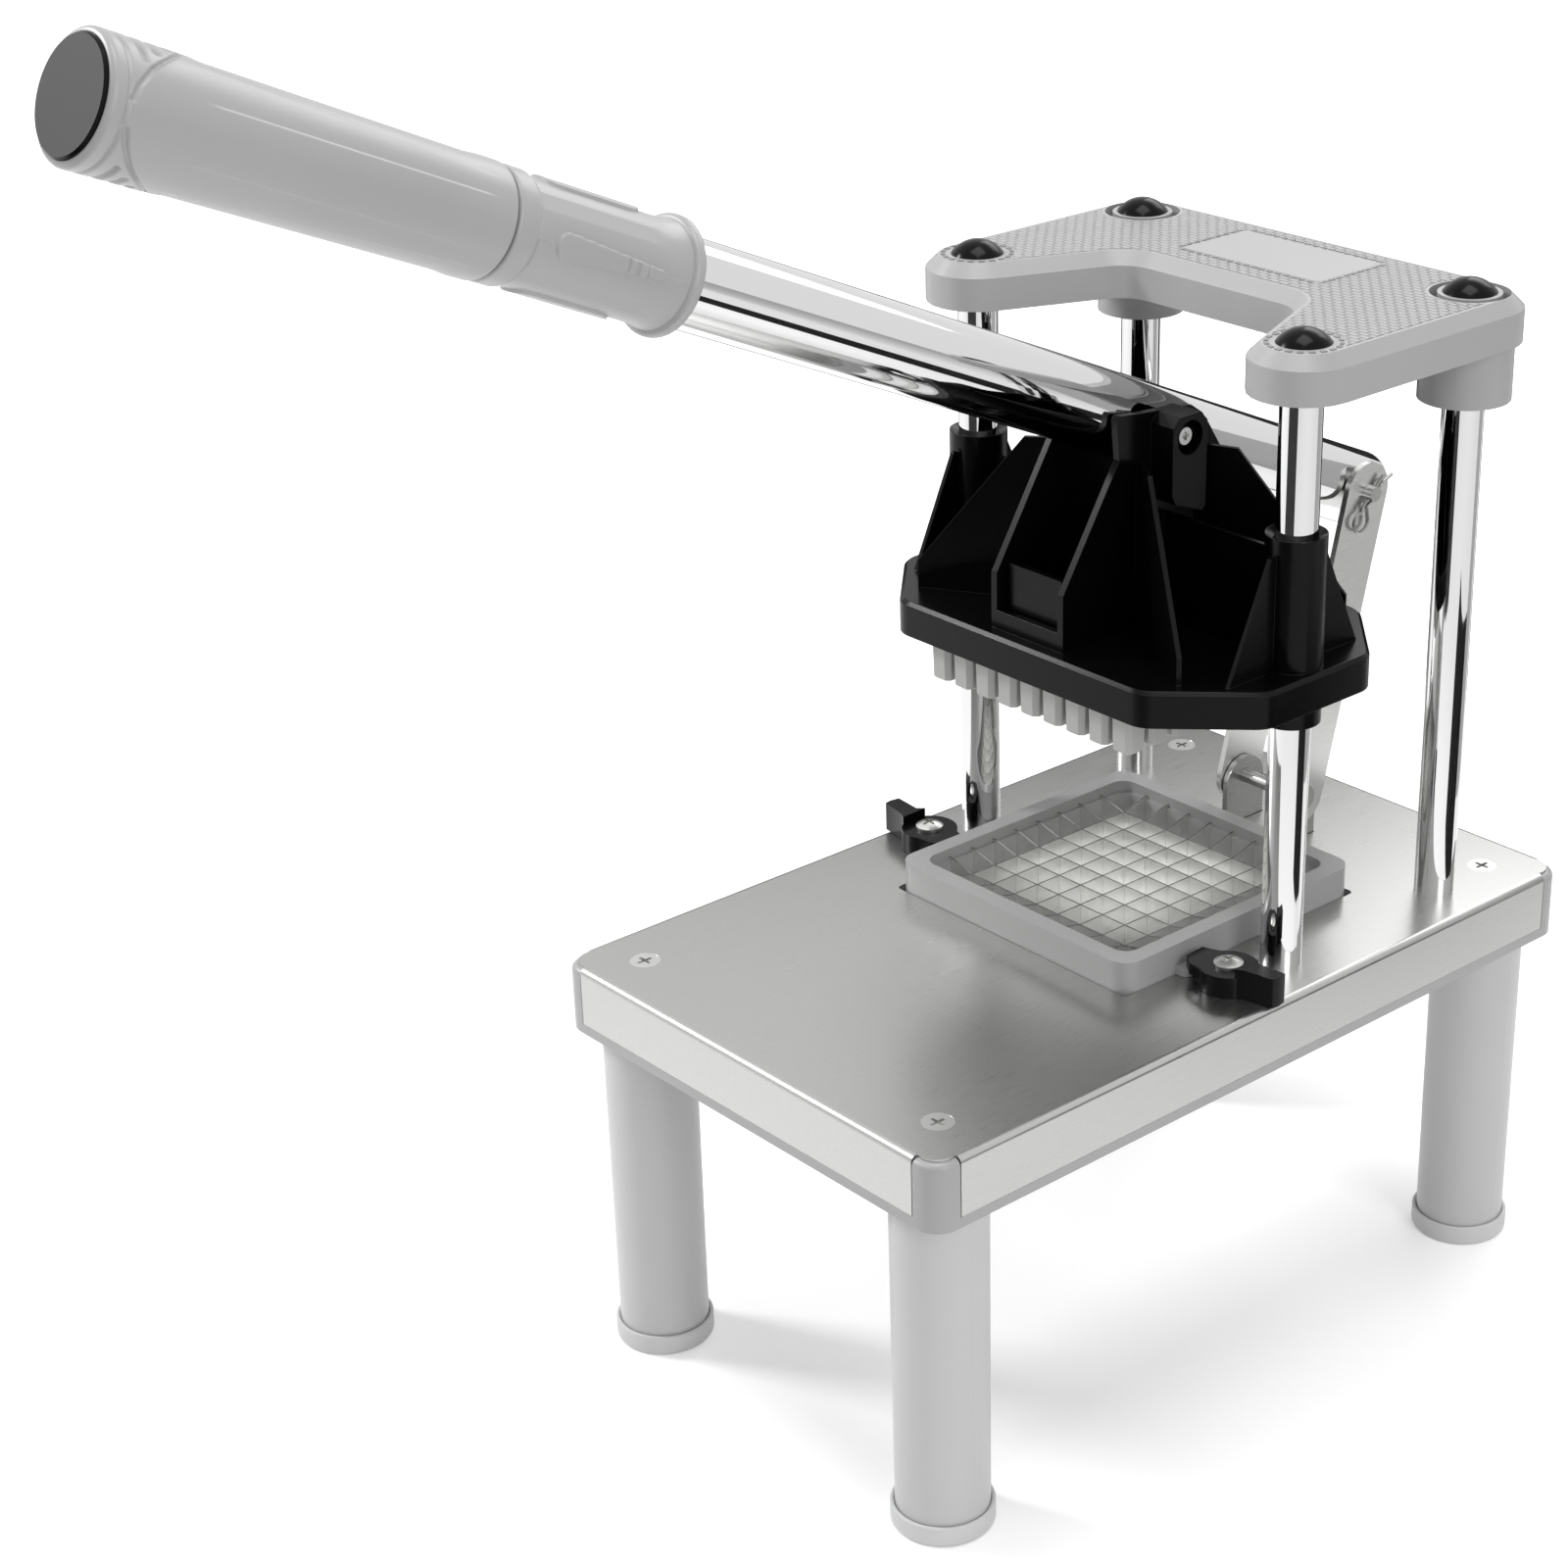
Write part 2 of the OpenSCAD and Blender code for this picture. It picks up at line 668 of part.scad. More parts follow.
module clamp_screws() color("gainsboro") at_clamps() difference() {
    union() {
        rod(clamp_screw_d, cover_z - clamp_stud_len, cover_z + clamp_hub_h + fit);
        translate([0, 0, cover_z + clamp_hub_h + fit]) intersection() {
            cylinder(d = pan_d, h = pan_h);
            translate([0, 0, pan_h - pan_d]) sphere(pan_d);
        }
    }
    cross_recess(cover_z + clamp_hub_h + pan_h);
}
module clamp_nuts() color("gainsboro") at_clamps() translate([0, 0, deck_under - boss_h - clamp_nut_h])
    difference() {
        cylinder(d = clamp_nut_d, h = clamp_nut_h, $fn = 6);
        rod(clamp_screw_d + 2 * fit, -over, clamp_nut_h + over);
    }

// Bracket under the deck whose two ears carry the links
module ear_bracket() color("silver") {
    half = ear_out;
    difference() {
        translate([-half, axle_y - ear_w / 2 - bracket_lead, deck_under - bracket_t])
            cube([2 * half, bracket_l, bracket_t]);
        at_bracket_screws() rod(small_screw_d + 2 * fit, tray_z, cover_z);
    }
    for (s = [-1, 1]) difference() {
        side_plate(s * (half - ear_t / 2), ear_t) {
            translate([axle_y - ear_w / 2, deck_under - bracket_t])
                square([ear_w, axle_z + ear_over - ear_w / 2 - deck_under + bracket_t]);
            translate([axle_y, axle_z + ear_over - ear_w / 2]) circle(ear_w / 2);
        }
        translate([0, axle_y, axle_z]) cross_rod(pin_d + 2 * fit, -half - over, half + over);
    }
}
module bracket_screws() color("gainsboro") at_bracket_screws() {
    top = deck_under - bracket_t;
    rod(small_head_d, top - small_head_h, top);
    rod(small_screw_d, top - fit, top + small_screw_len - deck_t - gap);
}
module base_axle() color("whitesmoke") translate([0, axle_y, axle_z]) {
    out = link_in + link_t + gap + clip_t + clip_t;
    cross_rod(pin_d, -out, out);
}
module axle_clips() color("gray") translate([0, axle_y, axle_z]) for (s = [-1, 1]) difference() {
    x = link_in + link_t + gap;
    cross_rod(clip_d, s > 0 ? x : -x - clip_t, s > 0 ? x + clip_t : -x);
    cross_rod(pin_d + 2 * fit, -x - 2 * clip_t, x + 2 * clip_t);
}

// Link bars from the ears up to the lever
module link_bar(s) color("silver") difference() {
    translate([0, axle_y, axle_z]) rotate([-link_lean, 0, 0]) side_plate(s * (link_in + link_t / 2), link_t) {
        translate([-link_w / 2, 0]) square([link_w, link_len]);
        circle(link_w / 2);
        translate([0, link_len]) circle(link_w / 2);
    }
    translate([0, axle_y, axle_z]) cross_rod(pin_d + 2 * fit, -link_w, link_w);
    translate([0, pin_y, pin_z]) cross_rod(pin_d + 2 * fit, -link_w, link_w);
}
module link_left() link_bar(-1);
module link_right() link_bar(1);
module clevis_pin() color("whitesmoke") translate([0, pin_y, pin_z]) difference() {
    inner = link_in + link_t;
    union() {
        cross_rod(pin_d, -inner - fit, inner + gap + 2 * spring_wire + pin_tip);
        cross_rod(clip_d, -inner - 2 * clip_t, -inner - fit);
    }
    translate([inner + gap + spring_wire, 0, 0]) rotate([spring_lean - 90, 0, 0])
        rod(spring_wire + 2 * slip, -pin_d, pin_d);
}
// Bent from wire in one plane: a leg through the pin, a loop, and a leg that hugs the pin
module spring_clip() color("silver") translate([link_in + link_t + gap + spring_wire, pin_y, pin_z])
    rotate([spring_lean, 0, 0]) {
        hug = pin_d / 2 + spring_wire / 2 + fit;
        path = concat([[spring_tail, 0], [0, 0], [-spring_reach + spring_loop_r, 0]],
            arc([-spring_reach, -spring_loop_r], spring_loop_r, 50, 320, 14),
            [[-hug - spring_wire, -spring_wire]], arc([0, 0], hug, 225, 315, 6),
            [[hug + spring_wire, -spring_wire], [spring_leg, -spring_loop_r]]);
        m = len(path);
        skin([for (i = [0 : m - 1]) let (t = path[min(i + 1, m - 1)] - path[max(i - 1, 0)], u = t / norm(t))
            [for (k = [7 : -1 : 0]) let (c = cos(45 * k) * spring_wire / 2, q = sin(45 * k) * spring_wire / 2)
                [c, path[i][0] - u[1] * q, path[i][1] + u[0] * q]]]);
    }

// Everything on the lever is drawn along Z, from the head's pivot to the grip
module on_lever() translate([0, press_y, pivot_z]) rotate([-lever_rest, 0, 0]) rotate([90, 0, 0]) children();
tube_rear = -lever_arm - tube_tail;
tube_front = grip_end - grip_bore_end;
module lever_tube() color("whitesmoke") on_lever() difference() {
    rod(tube_d, tube_rear + plug_t, tube_front);
    rod(tube_d - 2 * tube_wall, tube_rear - over, tube_front + over);
    translate([0, 0, -lever_arm]) cross_rod(pin_d + 2 * fit, -tube_d, tube_d);
    for (z = [-slot_rear, slot_front]) translate([0, 0, z])
        cross_rod(bolt_d + 2 * slot_side, -tube_d, tube_d);
    translate([-tube_d, -bolt_d / 2 - slot_side, -slot_rear])
        cube([2 * tube_d, bolt_d + 2 * slot_side, slot_front + slot_rear]);
}
module tube_plug() color([0.6, 0.6, 0.6]) on_lever() difference() {
    union() {
        rod(tube_d - 2 * slip, tube_rear, tube_rear + plug_t - fit);
        rod(tube_d - 2 * tube_wall - 2 * fit, tube_rear, tube_rear + plug_l - pin_d);
    }
    rod(tube_d - 2 * tube_wall - 2 * plug_wall, tube_rear + plug_wall, 0);
}
// Front collar of the grip: a flange, a flare down to a round body and a band at the joint
module grip_collar() color("darkgray") on_lever() difference() {
    swing = acos(1 - (flange_d - collar_d) / 2 / (flare_r + rim_r));
    rim_top = grip_start + flange_l - rim_r;
    union() {
        rotate_extrude() polygon(concat([[0, grip_start]],
            arc([flange_d / 2 - rim_r, grip_start + rim_r], rim_r, -90, 0, 4),
            arc([flange_d / 2 - rim_r, rim_top], rim_r, 0, swing, 3),
            arc([collar_d / 2 + flare_r, rim_top + (flare_r + rim_r) * sin(swing)],
                flare_r, 180 + swing, 180, 8),
            [[collar_d / 2, grip_split - band_l], [band_d / 2, grip_split - band_l + (band_d - collar_d) / 2],
             [band_d / 2, grip_split - rim_r / 2], [band_d / 2 - rim_r / 2, grip_split], [0, grip_split]]));
        // Long pads above and below
        for (a = [90, 270]) rotate([a, 0, 0]) mirror([0, a < 180 ? 0 : 1, 0])
            linear_extrude(collar_d / 2 + pad_proud) {
                translate([-pad_w / 2, grip_start + pad_start + pad_w / 2]) square([pad_w, pad_l - pad_w]);
                for (end = [pad_w / 2, pad_l - pad_w / 2])
                    translate([0, grip_start + pad_start + end]) circle(pad_w / 2);
            }
    }
    rod(tube_d + 2 * fit, grip_start - over, grip_split + over);
}
module grip() color("darkgray") on_lever() difference() {
    rotate_extrude() polygon(concat([[0, grip_split]],
        arc([grip_neck_d / 2 - rim_r, grip_split + rim_r], rim_r, -90, 0, 4),
        arc([grip_d / 2 - grip_edge_r, grip_end - cap_proud - grip_edge_r], grip_edge_r, 0, 90, 6),
        [[0, grip_end - cap_proud]]));
    rod(tube_d + 2 * fit, grip_split - over, tube_front + fit);
    rod(tube_d - 2 * tube_wall, grip_split, grip_end);
    rod(cap_face_d + 2 * slip, grip_end - cap_t, grip_end + over);
}
// Round cap that closes the grip's end, with a stem in the tube
module grip_end_cap() color("dimgray") on_lever() {
    base = grip_end - cap_t + fit;
    rod(cap_face_d, base, grip_end - cap_edge);
    translate([0, 0, grip_end - cap_edge])
        cylinder(d1 = cap_face_d, d2 = cap_face_d - 2 * cap_edge, h = cap_edge);
    rod(tube_d - 2 * tube_wall - 2 * slip, tube_front, base + over);
}

// The head: an eight-sided flange with a tower for the lever and two sleeves
function flange_outline(inset) = let (hx = head_hx - inset, hy = head_hy - inset,
    cx = flange_chamfer_x - chamfer_share * inset, cy = flange_chamfer_y - chamfer_share * inset) [
    [hx, -hy + cy], [hx, hy - cy], [hx - cx, hy], [-hx + cx, hy],
    [-hx, hy - cy], [-hx, -hy + cy], [-hx + cx, -hy], [hx - cx, -hy]];
// Rounds each corner of an outline with a bow of a few points
function rounded(points, r, n = 4) = let (m = len(points)) [for (i = [0 : m - 1])
    let (p = points[i], a = points[(i + m - 1) % m] - p, b = points[(i + 1) % m] - p,
        ta = a / norm(a) * r, tb = b / norm(b) * r)
    each [for (k = [0 : n]) let (u = k / n) p + ta * (1 - u) * (1 - u) + tb * u * u]];
module cheek_outline() {
    polygon([[-tower_y, -pivot_up], [-tower_y, tower_front_z], [-slope_y, slope_z],
        [-horn_y, horn_z - crown_round], [-horn_y + crown_round, horn_z],
        [-horn_y / 2, crown_z + crown_round],
        [0, crown_z], [crown_y, crown_z - crown_round], [brow_y, brow_z], [shoulder_y, shoulder_z],
        [tower_y, tower_front_z], [tower_y, -pivot_up]]);
}
module head_rib() {
    root = (cheek_in + cheek_t / 2) / cos(rib_lean);
    rib_end = (head_hx - rib_in) / cos(rib_lean);
    rib_flat = root + rib_out;
    crest = -pivot_up + rib_foot + (rib_end - rib_flat) * rib_rise;
    linear_extrude(head_rib_t, center = true) polygon([[root, -pivot_up], [rib_end, -pivot_up],
        [rib_end, -pivot_up + rib_foot], [rib_flat, crest], [root, crest + head_rib_t / 2]]);
}
module pusher_head() color([0.07, 0.07, 0.08]) translate([0, press_y, pivot_z]) {
    top = -pivot_up;
    low = -pivot_up - head_skirt;
    catch_y = -tower_y + head_wall + tab_slot + tongue_t + gap;
    difference() {
        union() {
            difference() {
                skin([at_height(rounded(flange_outline(0), flange_r), low),
                    at_height(rounded(flange_outline(0), flange_r), top - flange_edge),
                    at_height(rounded(flange_outline(flange_edge), flange_r), top)]);
                skin([at_height(rounded(flange_outline(head_wall), flange_r), low - over),
                    at_height(rounded(flange_outline(head_wall), flange_r), top - head_wall)]);
            }
            for (s = [-1, 1]) side_plate(s * (cheek_in + cheek_t / 2), cheek_t) cheek_outline();
            for (s = [-1, 1]) translate([s * pillar_x, 0, 0]) rod(sleeve_d, low - stub_h, top + sleeve_up);
            for (a = [0, 1], b = [0, 1]) mirror([a, 0, 0]) mirror([0, b, 0])
                translate([0, rib_ahead, 0]) rotate([0, 0, rib_lean]) rotate([90, 0, 0]) head_rib();
            for (s = [-1, 1], t = [-1, 1]) side_plate(s * pillar_x, head_rib_t) polygon([
                [0, top], [t * fin_out, top], [t * fin_in, top + sleeve_up - fin_down],
                [0, top + sleeve_up - fin_down]]);
            // Webs from the cheeks to the sleeves
            for (s = [0, 1]) mirror([s, 0, 0]) translate([cheek_in + cheek_t / 2, -head_rib_t / 2, top])
                cube([pillar_x - cheek_in - cheek_t, head_rib_t, sleeve_up - web_down]);
            // Pivot bosses on the cheeks
            for (s = [-1, 1]) side_plate(s * (cheek_in + boss_out) / 2, boss_out - cheek_in) polygon([
                [-boss_half, boss_corner - boss_low], [boss_corner / 2 - boss_half, -boss_low],
                [boss_half - boss_corner / 2, -boss_low - boss_skew],
                [boss_half, boss_corner / 2 - boss_low - boss_skew], [boss_half, boss_high - boss_corner],
                [boss_half - boss_corner, boss_high],
                [boss_corner - boss_half, boss_high], [-boss_half, boss_high - boss_corner]]);
            // Sill between the cheeks at the front, and the tongue behind it that bears on the block's catch
            translate([-cheek_in - over, -tower_y, top]) cube([2 * (cheek_in + over), head_wall, sill_h]);
            translate([-tab_w / 2, -tower_y + head_wall + tab_slot, top - over])
                cube([tab_w, tongue_t, tongue_h + over]);
        }
        for (s = [-1, 1]) translate([s * pillar_x, 0, 0]) {
            rod(pillar_d + 2 * fit, low - stub_h - over, top + sleeve_up + over);
            translate([0, 0, top + sleeve_up - rim_cut])
                cylinder(d1 = pillar_d + 2 * fit, d2 = pillar_d + 4 * rim_cut, h = rim_cut + fit);
        }
        cross_rod(bolt_d + 2 * fit, -boss_out - over, boss_out + over);
        for (s = [-1, 1]) translate([s * (boss_out - counter_deep / 2 + over / 2), 0, 0])
            cross_rod(counter_d, -counter_deep / 2 - over / 2, counter_deep / 2 + over / 2);
        // Opening in the flange for the block's catch
        translate([-tab_w / 2 - gap, catch_y - gap, top - head_wall - over])
            cube([tab_w + 2 * gap, tab_t + 2 * gap, head_wall + 2 * over]);
    }
}

// Pusher block: a ribbed plate with a field of tapered square pins
function pin_outline(w) = let (h = w / 2, c = pin_corner * w / pusher_pin_w) [
    [h, -h + c], [h, h - c], [h - c, h], [-h + c, h], [-h, h - c], [-h, -h + c], [-h + c, -h], [h - c, -h]];
module pusher_block() color("lightgray") translate([0, press_y, pivot_z - pivot_up]) {
    low = -head_skirt - block_show;
    top = -head_wall - slip;
    half = block_w / 2;
    difference() {
        translate([0, 0, low]) slab(half, half, pin_corner + head_wall, top - low);
        translate([0, 0, low + block_t]) slab(half - head_wall, half - head_wall, pin_corner, top - low);
    }
    for (i = [-1, 0, 1]) {
        translate([i * half / 2 - rib_t / 2, -half + rib_t / 2, low + block_t / 2])
            cube([rib_t, 2 * half - rib_t, top - low - block_t / 2]);
        translate([-half + rib_t / 2, i * half / 2 - rib_t / 2, low + block_t / 2])
            cube([2 * half - rib_t, rib_t, top - low - block_t / 2]);
    }
    for (i = [0 : pusher_n - 1], j = [0 : pusher_n - 1])
        translate([i - (pusher_n - 1) / 2, j - (pusher_n - 1) / 2, 0] * blade_pitch + [0, 0, low]) skin([
            at_height(pin_outline(pusher_tip_w - pin_point), -pusher_pin_h),
            at_height(pin_outline(pusher_tip_w), pin_point / 2 - pusher_pin_h),
            at_height(pin_outline(pusher_pin_w), block_t / 2)]);
    translate([-tab_w / 2, -tower_y + head_wall + tab_slot + tongue_t + gap, low + block_t / 2])
        cube([tab_w, tab_t, sill_h - low - block_t / 2]);
}
module pivot_sleeve_nut() color("gainsboro") translate([0, press_y, pivot_z]) difference() {
    seat = boss_out - counter_deep;
    union() {
        cross_rod(bolt_d, -seat - fit, seat - fit);
        cross_rod(bolt_head_d, -seat - bolt_head_h, -seat - fit);
    }
    cross_rod(inner_thread_d + 2 * fit, 0, seat + over);
}
module pivot_screw() color("gainsboro") translate([0, press_y, pivot_z]) {
    seat = boss_out - counter_deep;
    difference() {
        union() {
            cross_rod(inner_thread_d, gap, seat + fit + over);
            cross_rod(pivot_head_d, seat + fit, seat + bolt_head_h);
        }
        translate([seat + bolt_head_h, 0, 0]) rotate([0, 90, 0]) cross_recess(0, pivot_head_d / 2);
    }
}

// Top plate joining the pillars, open at the front for the lever
function plate_outline(d) = let (r = plate_end_r - d, cy = notch_y - notch_r,
    cx = pillar_x - (plate_end_r + notch_r + sin(notch_lean) * cy) / cos(notch_lean)) concat(
    arc([pillar_x, 0], r, -180 + notch_lean, 0, end_n),
    arc([pillar_x, pillar_pitch], r, 0, 90, end_n),
    arc([-pillar_x, pillar_pitch], r, 90, 180, end_n),
    arc([-pillar_x, 0], r, 180, 360 - notch_lean, end_n),
    arc([-cx, cy], notch_r + d, 180 - notch_lean, 90, end_n),
    arc([cx, cy], notch_r + d, 90, notch_lean, end_n));
// Faces that close this outline: an arm on each side, a fan to each notch corner and the bar between
function plate_caps() = let (k = end_n + 1) concat(
    [[for (i = [0 : 2 * k - 1]) i, 6 * k - 1], [for (i = [2 * k : 4 * k]) i]],
    [[2 * k - 1, 2 * k, 5 * k - 1, 5 * k]],
    [for (i = [4 * k : 5 * k - 2]) [2 * k, i, i + 1]],
    [for (i = [5 * k : 6 * k - 2]) [2 * k - 1, i, i + 1]]);
module top_plate() color("darkgray") translate([0, press_y, plate_z]) difference() {
    union() {
        difference() {
            union() {
                translate([0, 0, -plate_h]) linear_extrude(plate_h - plate_edge) polygon(plate_outline(0));
                skin([at_height(plate_outline(0), -plate_edge), at_height(plate_outline(plate_edge), 0)],
                    plate_caps());
            }
            translate([0, 0, -plate_h - over])
                linear_extrude(plate_h - plate_edge + over) polygon(plate_outline(plate_wall));
        }
        for (s = [-1, 1]) {
            translate([s * pillar_x, 0, 0]) rod(socket_d, -plate_h, -plate_edge / 2);
            translate([s * pillar_x, pillar_pitch, 0]) rod(rear_boss_d, -rear_boss_h, -plate_edge / 2);
            translate([s * pillar_x - rib_t / 2, 0, plate_edge - plate_h])
                cube([rib_t, pillar_pitch, plate_h - 1.5 * plate_edge]);
        }
        for (y = [(notch_y + pillar_pitch) / 2, pillar_pitch])
            translate([-pillar_x, y - rib_t / 2, plate_edge - plate_h])
                cube([2 * pillar_x, rib_t, plate_h - 1.5 * plate_edge]);
    }
    for (s = [-1, 1], y = [0, pillar_pitch]) translate([s * pillar_x, y, 0]) {
        rod(pillar_d + 2 * fit, -rear_boss_h - over, -seat_deep - seat_floor);
        rod(top_screw_d + 2 * slip, -rear_boss_h, over);
        rod(seat_d, -seat_deep, over);
    }
    for (s = [-1, 1]) translate([s * pillar_x, pillar_pitch, 0]) difference() {
        rod(well_d, -well_deep, over);
        rod(collar_ring_d, -well_deep - over, over + over);
    }
}
module at_tops() for (s = [-1, 1], y = [press_y, rear_y]) translate([s * pillar_x, y, plate_z]) children();
module top_screws() color("gainsboro") at_tops() difference() {
    union() {
        rod(top_head_d, -seat_deep, -seat_deep + top_head_h);
        rod(top_screw_d, -seat_deep - top_screw_len, -seat_deep + fit);
    }
    cross_recess(-seat_deep + top_head_h);
}
module top_caps() color([0.06, 0.06, 0.07]) at_tops() {
    dome = (cap_d * cap_d / 4 + cap_h * cap_h) / (2 * cap_h);
    difference() {
        translate([0, 0, fit]) intersection() {
            cylinder(d = cap_d, h = cap_h);
            translate([0, 0, cap_h - dome]) sphere(dome, $fn = 64);
        }
        translate([0, 0, -dome - cap_plug_wall]) sphere(dome, $fn = 64);
    }
    difference() {
        rod(seat_d - 2 * fit, -cap_plug_l, fit + over);
        rod(seat_d - 2 * cap_plug_wall, -cap_plug_l - over, over / 2);
    }
}

cover_sheet();
base_tray();
cartridge_frame();
blades_lengthwise();
blades_crosswise();
leg_front_left();
leg_front_right();
leg_rear_left();
leg_rear_right();
foot_front_left();
foot_front_right();
foot_rear_left();
foot_rear_right();
leg_screws();
pillar_front_left();
pillar_front_right();
pillar_rear_left();
pillar_rear_right();
pillar_nuts();
pillar_washers();
top_plate();
top_screws();
top_caps();
clamp_left();
clamp_right();
clamp_screws();
clamp_nuts();
ear_bracket();
bracket_screws();
base_axle();
axle_clips();
link_left();
link_right();
clevis_pin();
spring_clip();
lever_tube();
tube_plug();
grip();
grip_collar();
grip_end_cap();
pusher_head();
pusher_block();
pivot_sleeve_nut();
pivot_screw();
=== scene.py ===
"""French fry cutter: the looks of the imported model, its camera and its plain studio."""
import json
import math

import bmesh
import bpy
from mathutils import Matrix, Vector


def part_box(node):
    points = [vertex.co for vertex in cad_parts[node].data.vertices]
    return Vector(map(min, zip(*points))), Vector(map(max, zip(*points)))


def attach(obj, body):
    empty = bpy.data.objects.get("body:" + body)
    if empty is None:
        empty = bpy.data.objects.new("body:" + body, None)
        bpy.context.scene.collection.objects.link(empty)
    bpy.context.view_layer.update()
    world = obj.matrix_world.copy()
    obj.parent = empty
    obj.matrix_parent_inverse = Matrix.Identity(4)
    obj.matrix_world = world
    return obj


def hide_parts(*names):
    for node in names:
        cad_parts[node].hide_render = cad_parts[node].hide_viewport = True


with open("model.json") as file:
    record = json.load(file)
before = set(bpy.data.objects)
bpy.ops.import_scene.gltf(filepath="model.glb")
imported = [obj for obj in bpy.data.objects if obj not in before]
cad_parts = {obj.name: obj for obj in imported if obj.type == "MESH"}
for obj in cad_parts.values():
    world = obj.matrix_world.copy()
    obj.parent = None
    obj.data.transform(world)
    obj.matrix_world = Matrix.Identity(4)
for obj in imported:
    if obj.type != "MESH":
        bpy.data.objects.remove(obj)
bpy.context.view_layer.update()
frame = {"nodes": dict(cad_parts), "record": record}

# One millimetre in the scene's metres
MM = 0.001

# The body that each CAD node rides on
BODY_OF = {node: body for body, nodes in frame["record"]["behaviour"]["bodies"].items() for node in nodes}

# The four corners, in whose names legs, feet and pillars end
CORNERS = [f"{end}_{side}" for end in ("front", "rear") for side in ("left", "right")]

# The lever's line from its pivot in the head, in m: Z runs along the tube to the grip, Y points up from it
LEVER_LEAN_DEG = 24.2
LEVER_PIVOT = (0.0, 0.023, 0.29817)
ALONG_LEVER = (Matrix.Translation(LEVER_PIVOT) @ Matrix.Rotation(math.radians(-LEVER_LEAN_DEG), 4, "X")
               @ Matrix.Rotation(math.radians(90), 4, "X") @ Matrix.Scale(MM, 4))

# Camera: where it stands, what it looks at, its roll, its lens and the depth that it sees, in m
CAMERA_PLACE = (0.6541, -0.6458, 0.6007)
CAMERA_AIM = (0.0, -0.0717, 0.1877)
CAMERA_ROLL_DEG = -1.04
CAMERA_LENS_MM = 73.14
CAMERA_SENSOR_MM = 36.0
CAMERA_SHIFT = (-0.0774, 0.0345)
CAMERA_DEPTH = (0.05, 20.0)

# Lamps: name, place and size in m, and power in watts. All point at one place on the object.
LAMP_AIM = (0.0, 0.0, 0.2)
LAMPS = [
    ("key", (-1.45, -0.92, 1.4), (0.4, 0.4), 22),
    ("top", (0.1, 0.0, 2.2), (1.1, 1.1), 17),
    ("side", (1.9, -0.3, 1.2), (0.9, 1.4), 12),
    ("back", (-0.6, 1.8, 1.6), (1.4, 0.9), 12),
]

# Cards: name, direction in degrees from +X, then distance, width and height in m, and colour
CARDS = [
    ("dim_front", -82, 0.52, 0.5, 0.34, "#3A3A3A"),
    ("dim_side", 27, 0.4, 0.3, 0.12, "#0C0C0C"),
    ("dim_right", 62, 0.5, 0.3, 0.34, "#B8B8B8"),
    ("dim_rear", 128, 0.5, 0.7, 0.34, "#141414"),
]

# Glow of the floor for each way of looking at it: near and far distance in m, and the strength at each
FLOOR_GLOW = [
    ("Is Camera Ray", (0.35, 1.2), (0.3, 0.7)),
    ("Is Glossy Ray", (0.25, 0.6), (0.36, 0.08)),
    ("Is Transmission Ray", (0.35, 1.2), (0.3, 0.7)),
]

# Strength of the white surround: where it is looked at, and where it only fills the shadows
SURROUND_SEEN, SURROUND_FILL = 1.0, 0.39

# Roughness of the floor and the cards, and how strongly a plastic bends light
MATT = 0.9
PLASTIC_IOR = 1.52

# A Mix node has a pair of inputs and an output for each kind of value. These are the ones for colours.
MIX_FIRST, MIX_SECOND, MIX_RESULT = 6, 7, 2

# Colours of the finishes, as a picture shows them. A shade is the darker tone that a surface drifts to.
WHITE = "#FFFFFF"
FLOOR = "#F4F4F4"
STEEL, STEEL_SHADE = "#BFBFBE", "#B6B6B5"
# Painted light: the link bars' stainless is coloured brighter than the sheet's, for the light that they
# reflect
LINK_PAINTED_BRIGHT, LINK_PAINTED_BRIGHT_SHADE = "#E8E8E6", "#DEDEDC"
BLADE, BLADE_UPWARD_TONE = "#F0F0EE", "#626260"
CHROME = "#D8D8D8"
PLATED = "#C9C9C7"
SCREW = "#D2D2D0"
SPRING = "#9A9A98"
BLACKENED = "#1A1A1A"
GREY, GREY_SHADE = "#ABABAB", "#A5A5A5"
LEG, LEG_SHADE = "#CACACA", "#C5C5C5"
PALE, PALE_SHADE = "#B4B4B2", "#AEAEAC"
# Painted shade: dark bars on the plate stand for the shade in its small recesses
PAINTED_RECESS_SHADE, PAINTED_RECESS_SHADE_DARKER = "#828282", "#7C7C7C"
# The lozenges' gap tone is painted shade in the grooves between them
LOZENGE, LOZENGE_GAP_PAINTED_SHADE = "#A6A6A6", "#868686"
BLACK, BLACK_SHADE = "#060607", "#040405"
CAP_FACE, CAP_FACE_SHADE = "#565656", "#525252"
RUBBER, RUBBER_SHADE = "#DADADA", "#D2D2D2"


def linear(hex_colour):
    """A written sRGB colour as linear red, green, blue and alpha."""
    parts = [int(hex_colour[i:i + 2], 16) / 255 for i in (1, 3, 5)]
    return [c / 12.92 if c <= 0.04045 else ((c + 0.055) / 1.055) ** 2.4 for c in parts] + [1.0]


def add_node(tree, kind, settings=None, **links):
    """Adds one node. Settings are its properties or sockets, links are sockets fed by other outputs."""
    node = tree.nodes.new(kind)
    for name, value in (settings or {}).items():
        if name in node.inputs:
            node.inputs[name].default_value = value
        else:
            setattr(node, name, value)
    for name, source in links.items():
        tree.links.new(source, node.inputs[name.replace("_", " ")])
    return node


def new_material(name, colour, **sockets):
    """A material with one shader, whose constant values are set on its own sockets."""
    material = bpy.data.materials.new(name)
    material.use_nodes = True
    tree = material.node_tree
    shader = tree.nodes["Principled BSDF"]
    shader.inputs["Base Color"].default_value = linear(colour)
    for socket, value in sockets.items():
        shader.inputs[socket.replace("_", " ")].default_value = value
    return material, tree, shader


